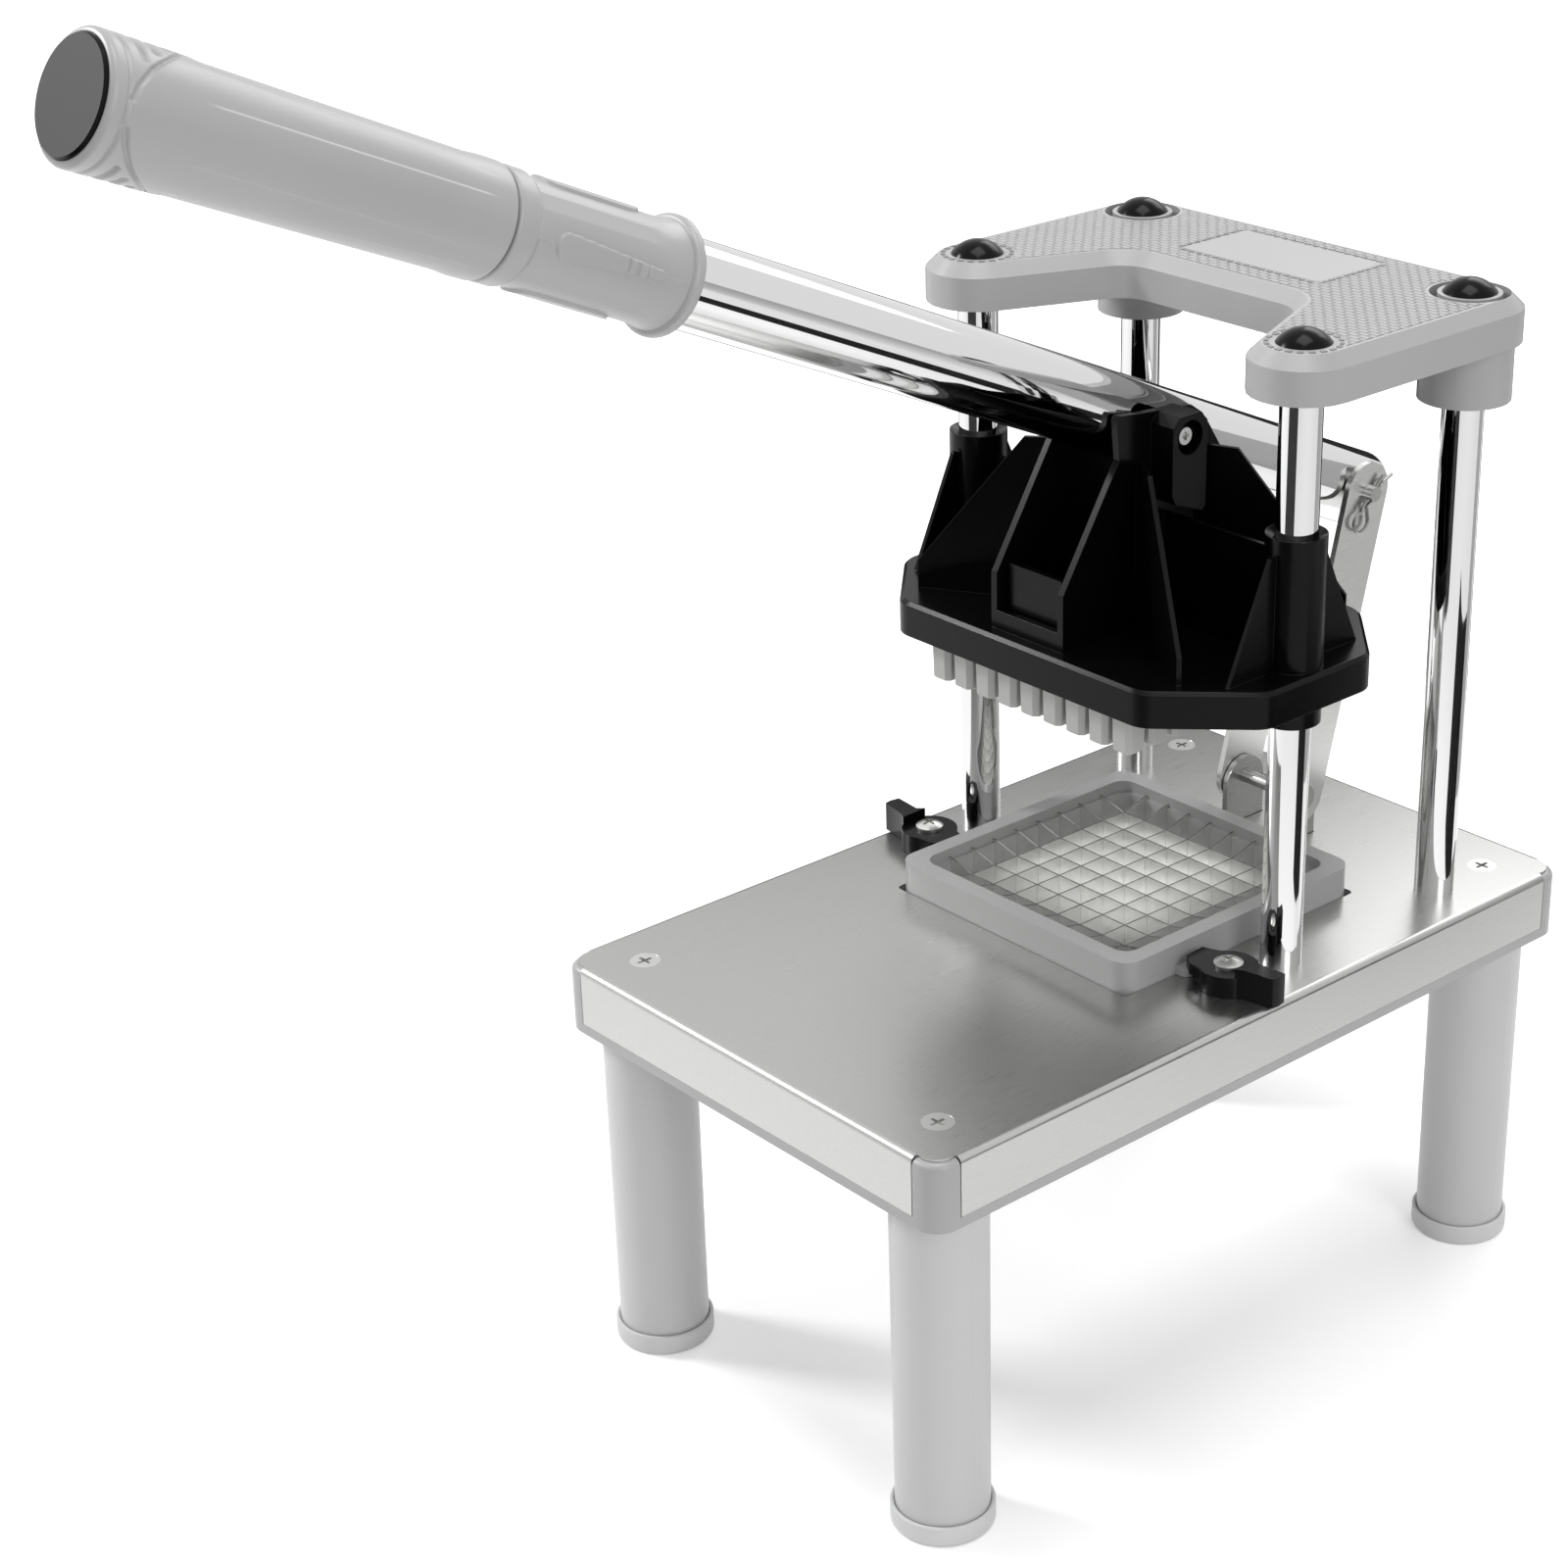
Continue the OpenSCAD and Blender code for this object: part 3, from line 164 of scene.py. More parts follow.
def places_on_piece(tree, stretch=(1.0, 1.0, 1.0)):
    """The place on the piece that a pattern reads. A small factor draws the pattern out along that axis."""
    place = add_node(tree, "ShaderNodeTexCoord").outputs["Object"]
    return add_node(tree, "ShaderNodeMapping", {"Scale": stretch}, Vector=place).outputs["Vector"]


def uneven_shine(tree, shader, places, size_mm, smooth, rough):
    """Lets the roughness drift between two values in patches of one size, and gives the patches back."""
    noise = add_node(tree, "ShaderNodeTexNoise", {"Scale": 1 / (size_mm * MM)}, Vector=places)
    patches = noise.outputs["Fac"]
    spread = add_node(tree, "ShaderNodeMapRange", {"To Min": smooth, "To Max": rough}, Value=patches)
    tree.links.new(spread.outputs["Result"], shader.inputs["Roughness"])
    return patches


def two_tones(tree, shader, share, first, second):
    """Colours the piece between two tones, by a pattern that runs from 0 to 1."""
    mix = add_node(tree, "ShaderNodeMix", {"data_type": "RGBA"})
    tree.links.new(share, mix.inputs["Factor"])
    mix.inputs[MIX_FIRST].default_value = linear(first)
    mix.inputs[MIX_SECOND].default_value = linear(second)
    tree.links.new(mix.outputs[MIX_RESULT], shader.inputs["Base Color"])


def raise_surface(tree, shader, height, depth_mm):
    """Makes the surface look raised by a pattern, which has its full depth at 1."""
    relief = add_node(tree, "ShaderNodeBump", {"Distance": depth_mm * MM}, Height=height)
    tree.links.new(relief.outputs["Normal"], shader.inputs["Normal"])


def brushed_stainless(name, colour, shade):
    """Stainless sheet rubbed along its length: very fine lines, which blur what it reflects."""
    # Real lines are finer than this, and would not show
    line_mm, drawn_out = 0.5, 0.03
    material, tree, shader = new_material(name, colour, Metallic=1.0)
    places = places_on_piece(tree, (1.0, drawn_out, 1.0))
    lines = uneven_shine(tree, shader, places, line_mm, smooth=0.24, rough=0.34)
    two_tones(tree, shader, lines, shade, colour)
    return material


def ground_blade_steel():
    """Thin ground blade strip: a bright face with faint lines across it, coloured darker where its faces
    point upwards.
    """
    # Real grinding lines are finer than this, and would not show
    line_mm, drawn_out = 1.43, 0.1
    upward_from, upward_to = 0.2, 0.4
    material, tree, shader = new_material("ground_blade_steel", BLADE, Metallic=1.0)
    places = places_on_piece(tree, (1.0, 1.0, drawn_out))
    uneven_shine(tree, shader, places, line_mm, smooth=0.24, rough=0.34)
    # Faces that point upwards take the darker tone
    normal = add_node(tree, "ShaderNodeNewGeometry").outputs["Normal"]
    upward = add_node(tree, "ShaderNodeSeparateXYZ", Vector=normal).outputs["Z"]
    edge = add_node(tree, "ShaderNodeMapRange", {"From Min": upward_from, "From Max": upward_to}, Value=upward)
    two_tones(tree, shader, edge.outputs["Result"], BLADE, BLADE_UPWARD_TONE)
    return material


def bright_zinc():
    """Bright zinc plating on small fasteners: shiny, with a slightly uneven surface."""
    # The patches are drawn coarser than the plating's own, so that they show on a small nut
    patch_mm, depth_mm = 1.11, 0.01
    material, tree, shader = new_material("bright_zinc", PLATED, Metallic=1.0)
    patches = uneven_shine(tree, shader, places_on_piece(tree), patch_mm, smooth=0.12, rough=0.26)
    raise_surface(tree, shader, patches, depth_mm)
    return material


def polished_chrome():
    """Decorative chrome over polished tube and rod: a clear mirror with a very faint ripple."""
    ripple_mm, depth_mm = 22.0, 0.01
    material, tree, shader = new_material("polished_chrome", CHROME, Metallic=1.0)
    ripple = uneven_shine(tree, shader, places_on_piece(tree), ripple_mm, smooth=0.025, rough=0.05)
    raise_surface(tree, shader, ripple, depth_mm)
    return material


def even_metal(name, colour, roughness):
    """Wire or a plated screw, whose surface is too fine to show: one even, blurred shine."""
    return new_material(name, colour, Metallic=1.0, Roughness=roughness)[0]


def moulded_plastic(name, colour, shade, smooth, rough, gloss=0.5, grain_mm=0.5, depth_mm=0.003):
    """Injection-moulded plastic: even colour with a slight flow mottle and a very fine orange peel."""
    shine_mm, mottle_mm, detail = 16.7, 40.0, 1.0
    material, tree, shader = new_material(name, colour, IOR=PLASTIC_IOR, Specular_IOR_Level=gloss)
    places = places_on_piece(tree)
    uneven_shine(tree, shader, places, shine_mm, smooth, rough)
    mottle, grain = [
        add_node(tree, "ShaderNodeTexNoise", {"Scale": 1 / (size * MM), "Detail": detail}, Vector=places)
        for size in (mottle_mm, grain_mm)]
    two_tones(tree, shader, mottle.outputs["Fac"], shade, colour)
    raise_surface(tree, shader, grain.outputs["Fac"], depth_mm)
    return material


def lozenge_plastic():
    """The grey moulding where its top is textured: rows of small staggered lozenges, with painted shade in
    the gaps between them.
    """
    pitch_mm, row_mm, gap_mm, depth_mm = 4.2, 2.2, 1.0, 0.5
    material, tree, shader = new_material("grey_lozenge_abs", GREY, IOR=PLASTIC_IOR, Roughness=0.36)
    pattern = {"Scale": 1.0, "Brick Width": pitch_mm * MM, "Row Height": row_mm * MM,
               "Mortar Size": gap_mm * MM / 2, "Mortar Smooth": 1.0, "offset": 0.5}
    gaps = add_node(tree, "ShaderNodeTexBrick", pattern, Vector=places_on_piece(tree)).outputs["Fac"]
    # The gaps are coloured darker: painted shade in the grooves between the lozenges
    two_tones(tree, shader, gaps, LOZENGE, LOZENGE_GAP_PAINTED_SHADE)
    lozenges = add_node(tree, "ShaderNodeMath", {"operation": "SUBTRACT"})
    lozenges.inputs[0].default_value = 1.0
    tree.links.new(gaps, lozenges.inputs[1])
    raise_surface(tree, shader, lozenges.outputs[0], depth_mm)
    return material


def aimed(place, aim):
    """Where a camera or lamp stands, turned so that it looks at its aim."""
    look = (Vector(aim) - Vector(place)).to_track_quat("-Z", "Y").to_matrix().to_4x4()
    return Matrix.Translation(place) @ look


def make_camera():
    """The photo's view of the object, as its straight edges and round ends give it."""
    data = bpy.data.cameras.new("camera")
    camera = bpy.data.objects.new("camera", data)
    bpy.context.scene.collection.objects.link(camera)
    data.sensor_width = CAMERA_SENSOR_MM
    data.lens = CAMERA_LENS_MM
    data.shift_x, data.shift_y = CAMERA_SHIFT
    data.clip_start, data.clip_end = CAMERA_DEPTH
    roll = Matrix.Rotation(math.radians(CAMERA_ROLL_DEG), 4, "Z")
    camera.matrix_world = aimed(CAMERA_PLACE, CAMERA_AIM) @ roll
    bpy.context.scene.camera = camera


def area_lamp(name, place, size, watts):
    """A lamp with a flat rectangular face, which softens the edges of shadows."""
    data = bpy.data.lights.new(name, "AREA")
    data.shape = "RECTANGLE"
    data.size, data.size_y = size
    data.energy = watts
    lamp = bpy.data.objects.new(name, data)
    bpy.context.scene.collection.objects.link(lamp)
    lamp.matrix_world = aimed(place, LAMP_AIM)


def place_mesh(shape, name, materials):
    """Puts a finished shape into the scene as an object with its materials."""
    mesh = bpy.data.meshes.new(name)
    shape.to_mesh(mesh)
    shape.free()
    for material in materials:
        mesh.materials.append(material)
    placed = bpy.data.objects.new(name, mesh)
    bpy.context.scene.collection.objects.link(placed)
    return placed


def seen_in_picture(tree):
    """One where the camera, a reflection or clear glass looks straight at a surface, else zero."""
    path = add_node(tree, "ShaderNodeLightPath")
    seen = path.outputs["Is Camera Ray"]
    for ray in ("Is Glossy Ray", "Is Transmission Ray"):
        either = add_node(tree, "ShaderNodeMath", {"operation": "MAXIMUM"})
        tree.links.new(seen, either.inputs[0])
        tree.links.new(path.outputs[ray], either.inputs[1])
        seen = either.outputs[0]
    return seen


def whiten_floor(tree, shader):
    """Shows the floor white away from the object. Its shadow stays, and chrome sees the far floor dark."""
    shader.inputs["Emission Color"].default_value = linear(WHITE)
    away = add_node(tree, "ShaderNodeVectorMath", {"operation": "LENGTH"})
    tree.links.new(places_on_piece(tree), away.inputs[0])
    path = add_node(tree, "ShaderNodeLightPath")
    total = None
    for ray, distance, strength in FLOOR_GLOW:
        level = add_node(tree, "ShaderNodeMapRange",
                         {"From Min": distance[0], "From Max": distance[1],
                          "To Min": strength[0], "To Max": strength[1]}, Value=away.outputs["Value"])
        glow = add_node(tree, "ShaderNodeMath", {"operation": "MULTIPLY_ADD"})
        tree.links.new(level.outputs["Result"], glow.inputs[0])
        tree.links.new(path.outputs[ray], glow.inputs[1])
        glow.inputs[2].default_value = 0.0
        if total:
            tree.links.new(total, glow.inputs[2])
        total = glow.outputs[0]
    tree.links.new(total, shader.inputs["Emission Strength"])


def make_surround():
    """A white surround that shows white in the picture and in the metal, and lights the object less."""
    world = bpy.data.worlds.new("studio")
    bpy.context.scene.world = world
    world.use_nodes = True
    tree = world.node_tree
    back = tree.nodes["Background"]
    back.inputs["Color"].default_value = linear(WHITE)
    level = add_node(tree, "ShaderNodeMapRange", {"To Min": SURROUND_FILL, "To Max": SURROUND_SEEN},
                     Value=seen_in_picture(tree))
    tree.links.new(level.outputs["Result"], back.inputs["Strength"])


def make_floor():
    """A floor of matt white paper, which keeps the object's shadow. Its grain is drawn coarse to show."""
    half, drop_mm, grain_mm, depth_mm = 6.0, 0.2, 3.33, 0.02
    shape = bmesh.new()
    bmesh.ops.create_grid(shape, x_segments=1, y_segments=1, size=half)
    bmesh.ops.translate(shape, verts=shape.verts, vec=(0, 0, -drop_mm * MM))
    material, tree, shader = new_material("floor_paper", FLOOR, Roughness=MATT)
    places = places_on_piece(tree)
    grain = add_node(tree, "ShaderNodeTexNoise", {"Scale": 1 / (grain_mm * MM)}, Vector=places)
    raise_surface(tree, shader, grain.outputs["Fac"], depth_mm)
    whiten_floor(tree, shader)
    floor = place_mesh(shape, "floor", [material])


def dark_card(name, side_deg, away, width, height, shade):
    """A matt card that stands round the object, and shows only as a darker patch in its shiny surfaces."""
    unit_half = 0.5
    shape = bmesh.new()
    bmesh.ops.create_grid(shape, x_segments=1, y_segments=1, size=unit_half)
    bmesh.ops.scale(shape, verts=shape.verts, vec=(width, height, 1.0))
    bmesh.ops.rotate(shape, verts=shape.verts, matrix=Matrix.Rotation(math.radians(90), 3, "X"))
    bmesh.ops.translate(shape, verts=shape.verts, vec=(0, away, height / 2))
    bmesh.ops.rotate(shape, verts=shape.verts, matrix=Matrix.Rotation(math.radians(side_deg - 90), 3, "Z"))
    card = place_mesh(shape, name, [new_material(name, shade, Roughness=MATT)[0]])
    card.visible_camera = card.visible_diffuse = card.visible_shadow = card.visible_transmission = False


def make_studio():
    """Everything round the object: surround, floor, lamps and cards."""
    make_surround()
    make_floor()
    for lamp in LAMPS:
        area_lamp(*lamp)
    for card in CARDS:
        dark_card(*card)


def finished(shape, name, node, materials, sharp_deg=32.0):
    """Makes the finished mesh a piece of the object that rides on the body of its CAD node."""
    for face in shape.faces:
        face.smooth = True
    piece = place_mesh(shape, name, materials)
    mesh = piece.data
    # A merged CAD mesh still holds its old shading normals, which no longer fit
    if "custom_normal" in mesh.attributes:
        mesh.attributes.remove(mesh.attributes["custom_normal"])
    mesh.set_sharp_from_angle(angle=math.radians(sharp_deg))
    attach(piece, BODY_OF[node])
    return piece


def merged_shape(node):
    """A merged copy of a CAD node's triangles."""
    weld_mm = 0.002
    shape = bmesh.new()
    shape.from_mesh(frame["nodes"][node].data)
    bmesh.ops.remove_doubles(shape, verts=shape.verts, dist=weld_mm * MM)
    return shape


def soften(node, name, material, width_mm):
    """The node with its moulded edges rounded by a width, so that they catch the light."""
    sharp_deg, steps = 22.0, 2
    piece = finished(merged_shape(node), name, node, [material], sharp_deg)
    edge = piece.modifiers.new("rounded_edges", "BEVEL")
    edge.width = width_mm * MM
    edge.segments = steps
    edge.limit_method = "ANGLE"
    edge.angle_limit = math.radians(sharp_deg)
    edge.harden_normals = True
    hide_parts(node)


def arc(centre, radius, start_deg, end_deg, steps):
    """Points of an arc, as (distance from the axis, place along it) in a turned profile, or as (x, y)."""
    turns = [math.radians(start_deg + (end_deg - start_deg) * i / steps) for i in range(steps + 1)]
    return [(centre[0] + radius * math.cos(t), centre[1] + radius * math.sin(t)) for t in turns]


def rows(first, last, step):
    """Points on a straight line of a profile, so that its surface can be carved between them."""
    count = max(1, round(abs(last[1] - first[1]) / step))
    return [(first[0] + (last[0] - first[0]) * i / count, first[1] + (last[1] - first[1]) * i / count)
            for i in range(1, count)]


def groove(distance, half_width, depth):
    """Depth of a round-bottomed groove at a distance from its middle."""
    return depth * max(0.0, 1 - (distance / half_width) ** 2)


def ramp(value, width):
    """From 0 to 1 over a width on both sides of zero, with soft ends."""
    share = min(1.0, max(0.0, 0.5 + value / (2 * width)))
    return share * share * (3 - 2 * share)


def within(place, start, end):
    """One between two places along the lever, each given with the length over which the mark fades."""
    return ramp(place - start[0], start[1]) * ramp(end[0] - place, end[1])


def between(table, value):
    """Straight lines between the pairs of a table."""
    for (x0, y0), (x1, y1) in zip(table, table[1:]):
        if value <= x1:
            return y0 + (y1 - y0) * max(0.0, value - x0) / (x1 - x0)
    return table[-1][1]


def degrees_from_side(turn):
    """Angle round the lever from the nearer of its two side seams, which is 90 on top and below."""
    return math.degrees(math.asin(min(1.0, abs(math.sin(turn)))))


def carve(shape, skin, depth_at):
    """Pushes in what lies outside the skin radius, by the depth in mm that its place on the lever has."""
    for vert in shape.verts:
        radius = math.hypot(vert.co.x, vert.co.y)
        if radius > skin:
            turn = math.atan2(vert.co.y, vert.co.x)
            share = 1 - depth_at(vert.co.z, turn, radius) / radius
            vert.co.x *= share
            vert.co.y *= share


def turn_on_lever(profile, skin, depth_at, name, node, material):
    """Spins a closed profile round the lever's line and carves its marks. It takes the CAD node's place."""
    steps, weld_mm, sharp_deg = 320, 0.001, 50.0
    shape = bmesh.new()
    verts = [shape.verts.new((radius, 0.0, place)) for radius, place in profile]
    edges = [shape.edges.new((verts[i - 1], verts[i])) for i in range(len(verts))]
    bmesh.ops.spin(shape, geom=verts + edges, cent=(0, 0, 0), axis=(0, 0, 1), dvec=(0, 0, 0),
                   angle=math.tau, steps=steps, use_merge=True, use_duplicate=False)
    bmesh.ops.remove_doubles(shape, verts=shape.verts, dist=weld_mm)
    bmesh.ops.recalc_face_normals(shape, faces=shape.faces)
    carve(shape, skin, depth_at)
    shape.transform(ALONG_LEVER)
    piece = finished(shape, name, node, [material], sharp_deg)
    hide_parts(node)


# The bore of grip and collar, which the lever tube fills
LEVER_BORE_R = 12.6

# The grip in mm along the lever: its joint with the collar and its end
GRIP_SPLIT, GRIP_END = 253.4, 369.0

# The groove behind the grip's rim, with its half width and depth
RIM_LINE, RIM_MARK = 364.6, (0.6, 0.5)

# The arched groove: its place along the lever for each angle from the side seam
GRIP_ARCH = [(0, 363.7), (11, 363.6), (25, 362.0), (43.5, 358.0), (62, 352.3), (80, 347.3), (90, 345.3)]
ARCH_MARK = (0.75, 0.8)
ARCH_FROM_DEG, ARCH_FADE_DEG = 10.0, 1.5
# The arch runs aslant, so a step across it is this share of a step along the lever
ARCH_SLANT = 0.8

# The notches inside the arch: place along the lever and half their angle
GRIP_NOTCHES = [(360.2, 44.0), (355.9, 31.0), (351.7, 17.0)]
NOTCH_MARK, NOTCH_END, NOTCH_FADE = (1.1, 1.1), 0.6, 0.5

# The panels along the grip's sides: a step up round the seam, and a step down at a line drawing away from it
SIDE_FROM, SIDE_TO = (262.0, 3.0), (343.0, 3.0)
SIDE_STEP, SIDE_CREASE = 0.4, 0.2
SIDE_DEG = 26.0
LOWER_DEG, LOWER_DEG_PER_MM = 47.0, 0.21


def grip_depth(place, turn, radius):
    """How far the marks of the grip's mould go in at one point. What stands proud is below zero."""
    away = degrees_from_side(turn)
    depth = groove(place - RIM_LINE, *RIM_MARK)
    from_arch = (place - between(GRIP_ARCH, away)) * ARCH_SLANT
    depth += groove(from_arch, *ARCH_MARK) * ramp(away - ARCH_FROM_DEG, ARCH_FADE_DEG)
    for notch, half_deg in GRIP_NOTCHES:
        inside = math.radians(half_deg - (90 - away)) * radius
        depth += groove(place - notch, *NOTCH_MARK) * ramp(inside - NOTCH_END, NOTCH_FADE)
    panel = SIDE_STEP * within(place, SIDE_FROM, SIDE_TO)
    depth -= panel * ramp(math.radians(SIDE_DEG - away) * radius, SIDE_CREASE)
    lower = LOWER_DEG + (place - GRIP_SPLIT) * LOWER_DEG_PER_MM
    return depth + panel * ramp(math.radians(away - lower) * radius, SIDE_CREASE)


def make_grip(material):
    """The long grip: a thin rim, an arched groove, notches behind it and shallow panels along its sides."""
    # Radii in mm, the places that go with them, and the steps between the rows that are carved
    neck, shoulder, widest, cap_seat, skin = 15.3, 16.05, 16.28, 14.6, 15.0
    shoulder_at, cap_floor, front_round, end_round = 336.0, 367.45, 1.0, 1.6
    coarse, fine = 1.5, 0.4
    start, end = GRIP_SPLIT + front_round, GRIP_END - end_round
    profile = [(LEVER_BORE_R, GRIP_SPLIT)]
    profile += arc((neck - front_round, start), front_round, -90, 0, steps=5)
    profile += rows((neck, start), (shoulder, shoulder_at), coarse) + [(shoulder, shoulder_at)]
    profile += rows((shoulder, shoulder_at), (widest, end), fine)
    profile += arc((widest - end_round, end), end_round, 0, 90, steps=6)
    profile += [(cap_seat, GRIP_END), (cap_seat, cap_floor), (LEVER_BORE_R, cap_floor)]
    turn_on_lever(profile, skin, grip_depth, "grip_body", "grip", material)


# The collar in mm along the lever: its front, and the groove before its rear band
COLLAR_START = 191.5
BAND_LINE, BAND_MARK = 245.6, (0.55, 0.45)

# The drop raised on each side: place and radius of its two ends, and the bars cut across its narrow one
DROP_WIDE, DROP_NARROW = (236.0, 3.5), (205.0, 1.35)
DROP_RISE, DROP_EDGE = 0.75, 0.22
DROP_BARS = (209.4, 212.8, 216.1)
BAR_MARK, BAR_REACH, BAR_EDGE = (0.6, 0.7), 1.7, 0.25

# The fine seam along each side, outside the drop
SEAM_FROM, SEAM_TO = (196.0, 1.0), (246.0, 0.6)
SEAM_MARK, SEAM_EDGE = (0.35, 0.2), 0.3

# The long pad with round ends on top and below
PAD_FROM, PAD_TO, PAD_R = 208.0, 241.0, 5.0
PAD_RISE, PAD_EDGE = 0.8, 0.25

# The flats between the drop and the pad
FLAT_FROM, FLAT_TO = (205.0, 3.0), (245.5, 0.4)
FLAT_DEG, FLAT_HALF_DEG = 41.0, 10.0


def collar_depth(place, turn, radius):
    """How far the marks of the collar's mould go in at one point. What stands proud is below zero."""
    away = degrees_from_side(turn)
    across = math.radians(away) * radius
    share = min(1.0, max(0.0, (DROP_WIDE[0] - place) / (DROP_WIDE[0] - DROP_NARROW[0])))
    drop_at, drop_r = [wide + (narrow - wide) * share for wide, narrow in zip(DROP_WIDE, DROP_NARROW)]
    from_drop = math.hypot(place - drop_at, across) - drop_r
    depth = -DROP_RISE * ramp(-from_drop, DROP_EDGE)
    for bar in DROP_BARS:
        depth += groove(place - bar, *BAR_MARK) * ramp(BAR_REACH - across, BAR_EDGE)
    depth -= groove(across, *SEAM_MARK) * within(place, SEAM_FROM, SEAM_TO) * ramp(from_drop, SEAM_EDGE)
    from_top = math.radians(90 - away) * radius
    pad_at = min(PAD_TO - PAD_R, max(PAD_FROM + PAD_R, place))
    depth -= PAD_RISE * ramp(PAD_R - math.hypot(place - pad_at, from_top), PAD_EDGE)
    depth += groove(place - BAND_LINE, *BAND_MARK)
    from_flat = away - FLAT_DEG
    # A flat cuts the round surface back to a straight line
    if abs(from_flat) < FLAT_HALF_DEG:
        cut = 1 - math.cos(math.radians(FLAT_HALF_DEG)) / math.cos(math.radians(from_flat))
        depth += within(place, FLAT_FROM, FLAT_TO) * radius * cut
    return depth


def make_collar(material):
    """The grip's front collar: a rounded flange, a hollow flare, a raised drop on each side and a band."""
    # Radii in mm, the places that go with them, and the steps between the rows that are carved
    body, flange, lip, root, band, skin = 14.2, 16.5, 1.4, 15.0, 15.1, 13.9
    crest, back, flare_end = COLLAR_START + 2.3, COLLAR_START + 3.8, COLLAR_START + 12.0
    band_from, band_full, band_round, gap = 246.2, 246.7, 0.9, 0.6
    lip_deg, fine, coarse = 84, 0.27, 1.0
    flare = ((flare_end - back) ** 2 + (root - body) ** 2) / (2 * (root - body))
    swing = math.degrees(math.asin((flare_end - back) / flare))
    end = GRIP_SPLIT - gap
    profile = [(LEVER_BORE_R, COLLAR_START)]
    profile += arc((flange - lip, COLLAR_START + lip), lip, -90, 0, steps=5)
    profile += arc((flange - lip, crest), lip, 0, lip_deg, steps=5)
    profile += arc((body + flare, flare_end), flare, 180 + swing, 180, steps=14)
    profile += rows((body, flare_end), (body, band_from), fine) + [(body, band_from), (band, band_full)]
    # The band carries no marks: its rows keep the shading of its rounded end from spreading over it
    profile += rows((band, band_full), (band, end - band_round), coarse)
    profile += arc((band - band_round, end - band_round), band_round, 0, 90, steps=4)
    profile += [(LEVER_BORE_R, end)]
    turn_on_lever(profile, skin, collar_depth, "collar", "grip_collar", material)


def make_end_cap(face, side):
    """The grip's end disc: its face is dark grey, and its sides are black: painted shade of the gap that it
    stands in.
    """
    almost_straight = 0.9
    shape = merged_shape("grip_end_cap")
    shape.normal_update()
    outward = ALONG_LEVER.to_3x3().normalized() @ Vector((0, 0, 1))
    for part in shape.faces:
        # The sides take the second material, black: painted shade of the gap round the disc
        part.material_index = 0 if part.normal.dot(outward) > almost_straight else 1
    piece = finished(shape, "end_disc", "grip_end_cap", [face, side])
    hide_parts("grip_end_cap")


# The top plate seen from above in mm: its caps, the radius round them and the notch between its two arms
CAP_X, FRONT_CAP_Y, REAR_CAP_Y = 68.5, 23.0, 97.0
PLATE_END_R = 16.5
NOTCH_X, NOTCH_Y, NOTCH_R, NOTCH_LEAN_DEG = 27.78, 46.0, 12.0, 23.0
PLATE_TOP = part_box("top_plate")[1][2]


def field_outline(inset_mm):
    """The plate's outline drawn in by an inset, with a round bite at each cap."""
    front_bite, rear_bite = 12.4, 13.4
    front_deg = math.degrees(math.acos((PLATE_END_R - inset_mm) / front_bite))
    rear_deg = math.degrees(math.acos((PLATE_END_R - inset_mm) / rear_bite))
    lean = NOTCH_LEAN_DEG
    points = arc((CAP_X, FRONT_CAP_Y), front_bite, 180 + lean - front_deg, front_deg, steps=16)
    points += arc((CAP_X, REAR_CAP_Y), rear_bite, -rear_deg, rear_deg - 270, steps=24)
    points += arc((-CAP_X, REAR_CAP_Y), rear_bite, 90 - rear_deg, rear_deg - 180, steps=24)
    points += arc((-CAP_X, FRONT_CAP_Y), front_bite, 180 - front_deg, front_deg - lean, steps=16)
    points += arc((-NOTCH_X, NOTCH_Y), NOTCH_R + inset_mm, 180 - lean, 90, steps=12)
    return points + arc((NOTCH_X, NOTCH_Y), NOTCH_R + inset_mm, 90, lean, steps=12)


def make_lozenge_field(lozenge):
    """The textured field of the top plate, which stands a little above its flat top."""
    inset_mm, sunk_mm, proud_mm = 5.2, 0.05, 0.12
    base = PLATE_TOP - sunk_mm * MM
    shape = bmesh.new()
    face = shape.faces.new([shape.verts.new((x * MM, y * MM, base)) for x, y in field_outline(inset_mm)])
    made = bmesh.ops.extrude_face_region(shape, geom=[face])["geom"]
    bmesh.ops.translate(shape, verts=[v for v in made if isinstance(v, bmesh.types.BMVert)],
                        vec=(0, 0, (sunk_mm + proud_mm) * MM))
    bmesh.ops.recalc_face_normals(shape, faces=shape.faces)
    finished(shape, "lozenge_field", "top_plate", [lozenge])


def stamp_boxes(places, size_mm, lift_mm, name, material):
    """Small bars in one mesh on the plate's top. Each place is x and y in mm and a turn about Z."""
    shape = bmesh.new()
    for x, y, turn in places:
        made = bmesh.ops.create_cube(shape, size=1.0)["verts"]
        bmesh.ops.scale(shape, verts=made, vec=[v * MM for v in size_mm])
        bmesh.ops.rotate(shape, verts=made, matrix=Matrix.Rotation(turn, 3, "Z"))
        bmesh.ops.translate(shape, verts=made, vec=(x * MM, y * MM, PLATE_TOP + lift_mm * MM))
    finished(shape, name, "top_plate", [material])


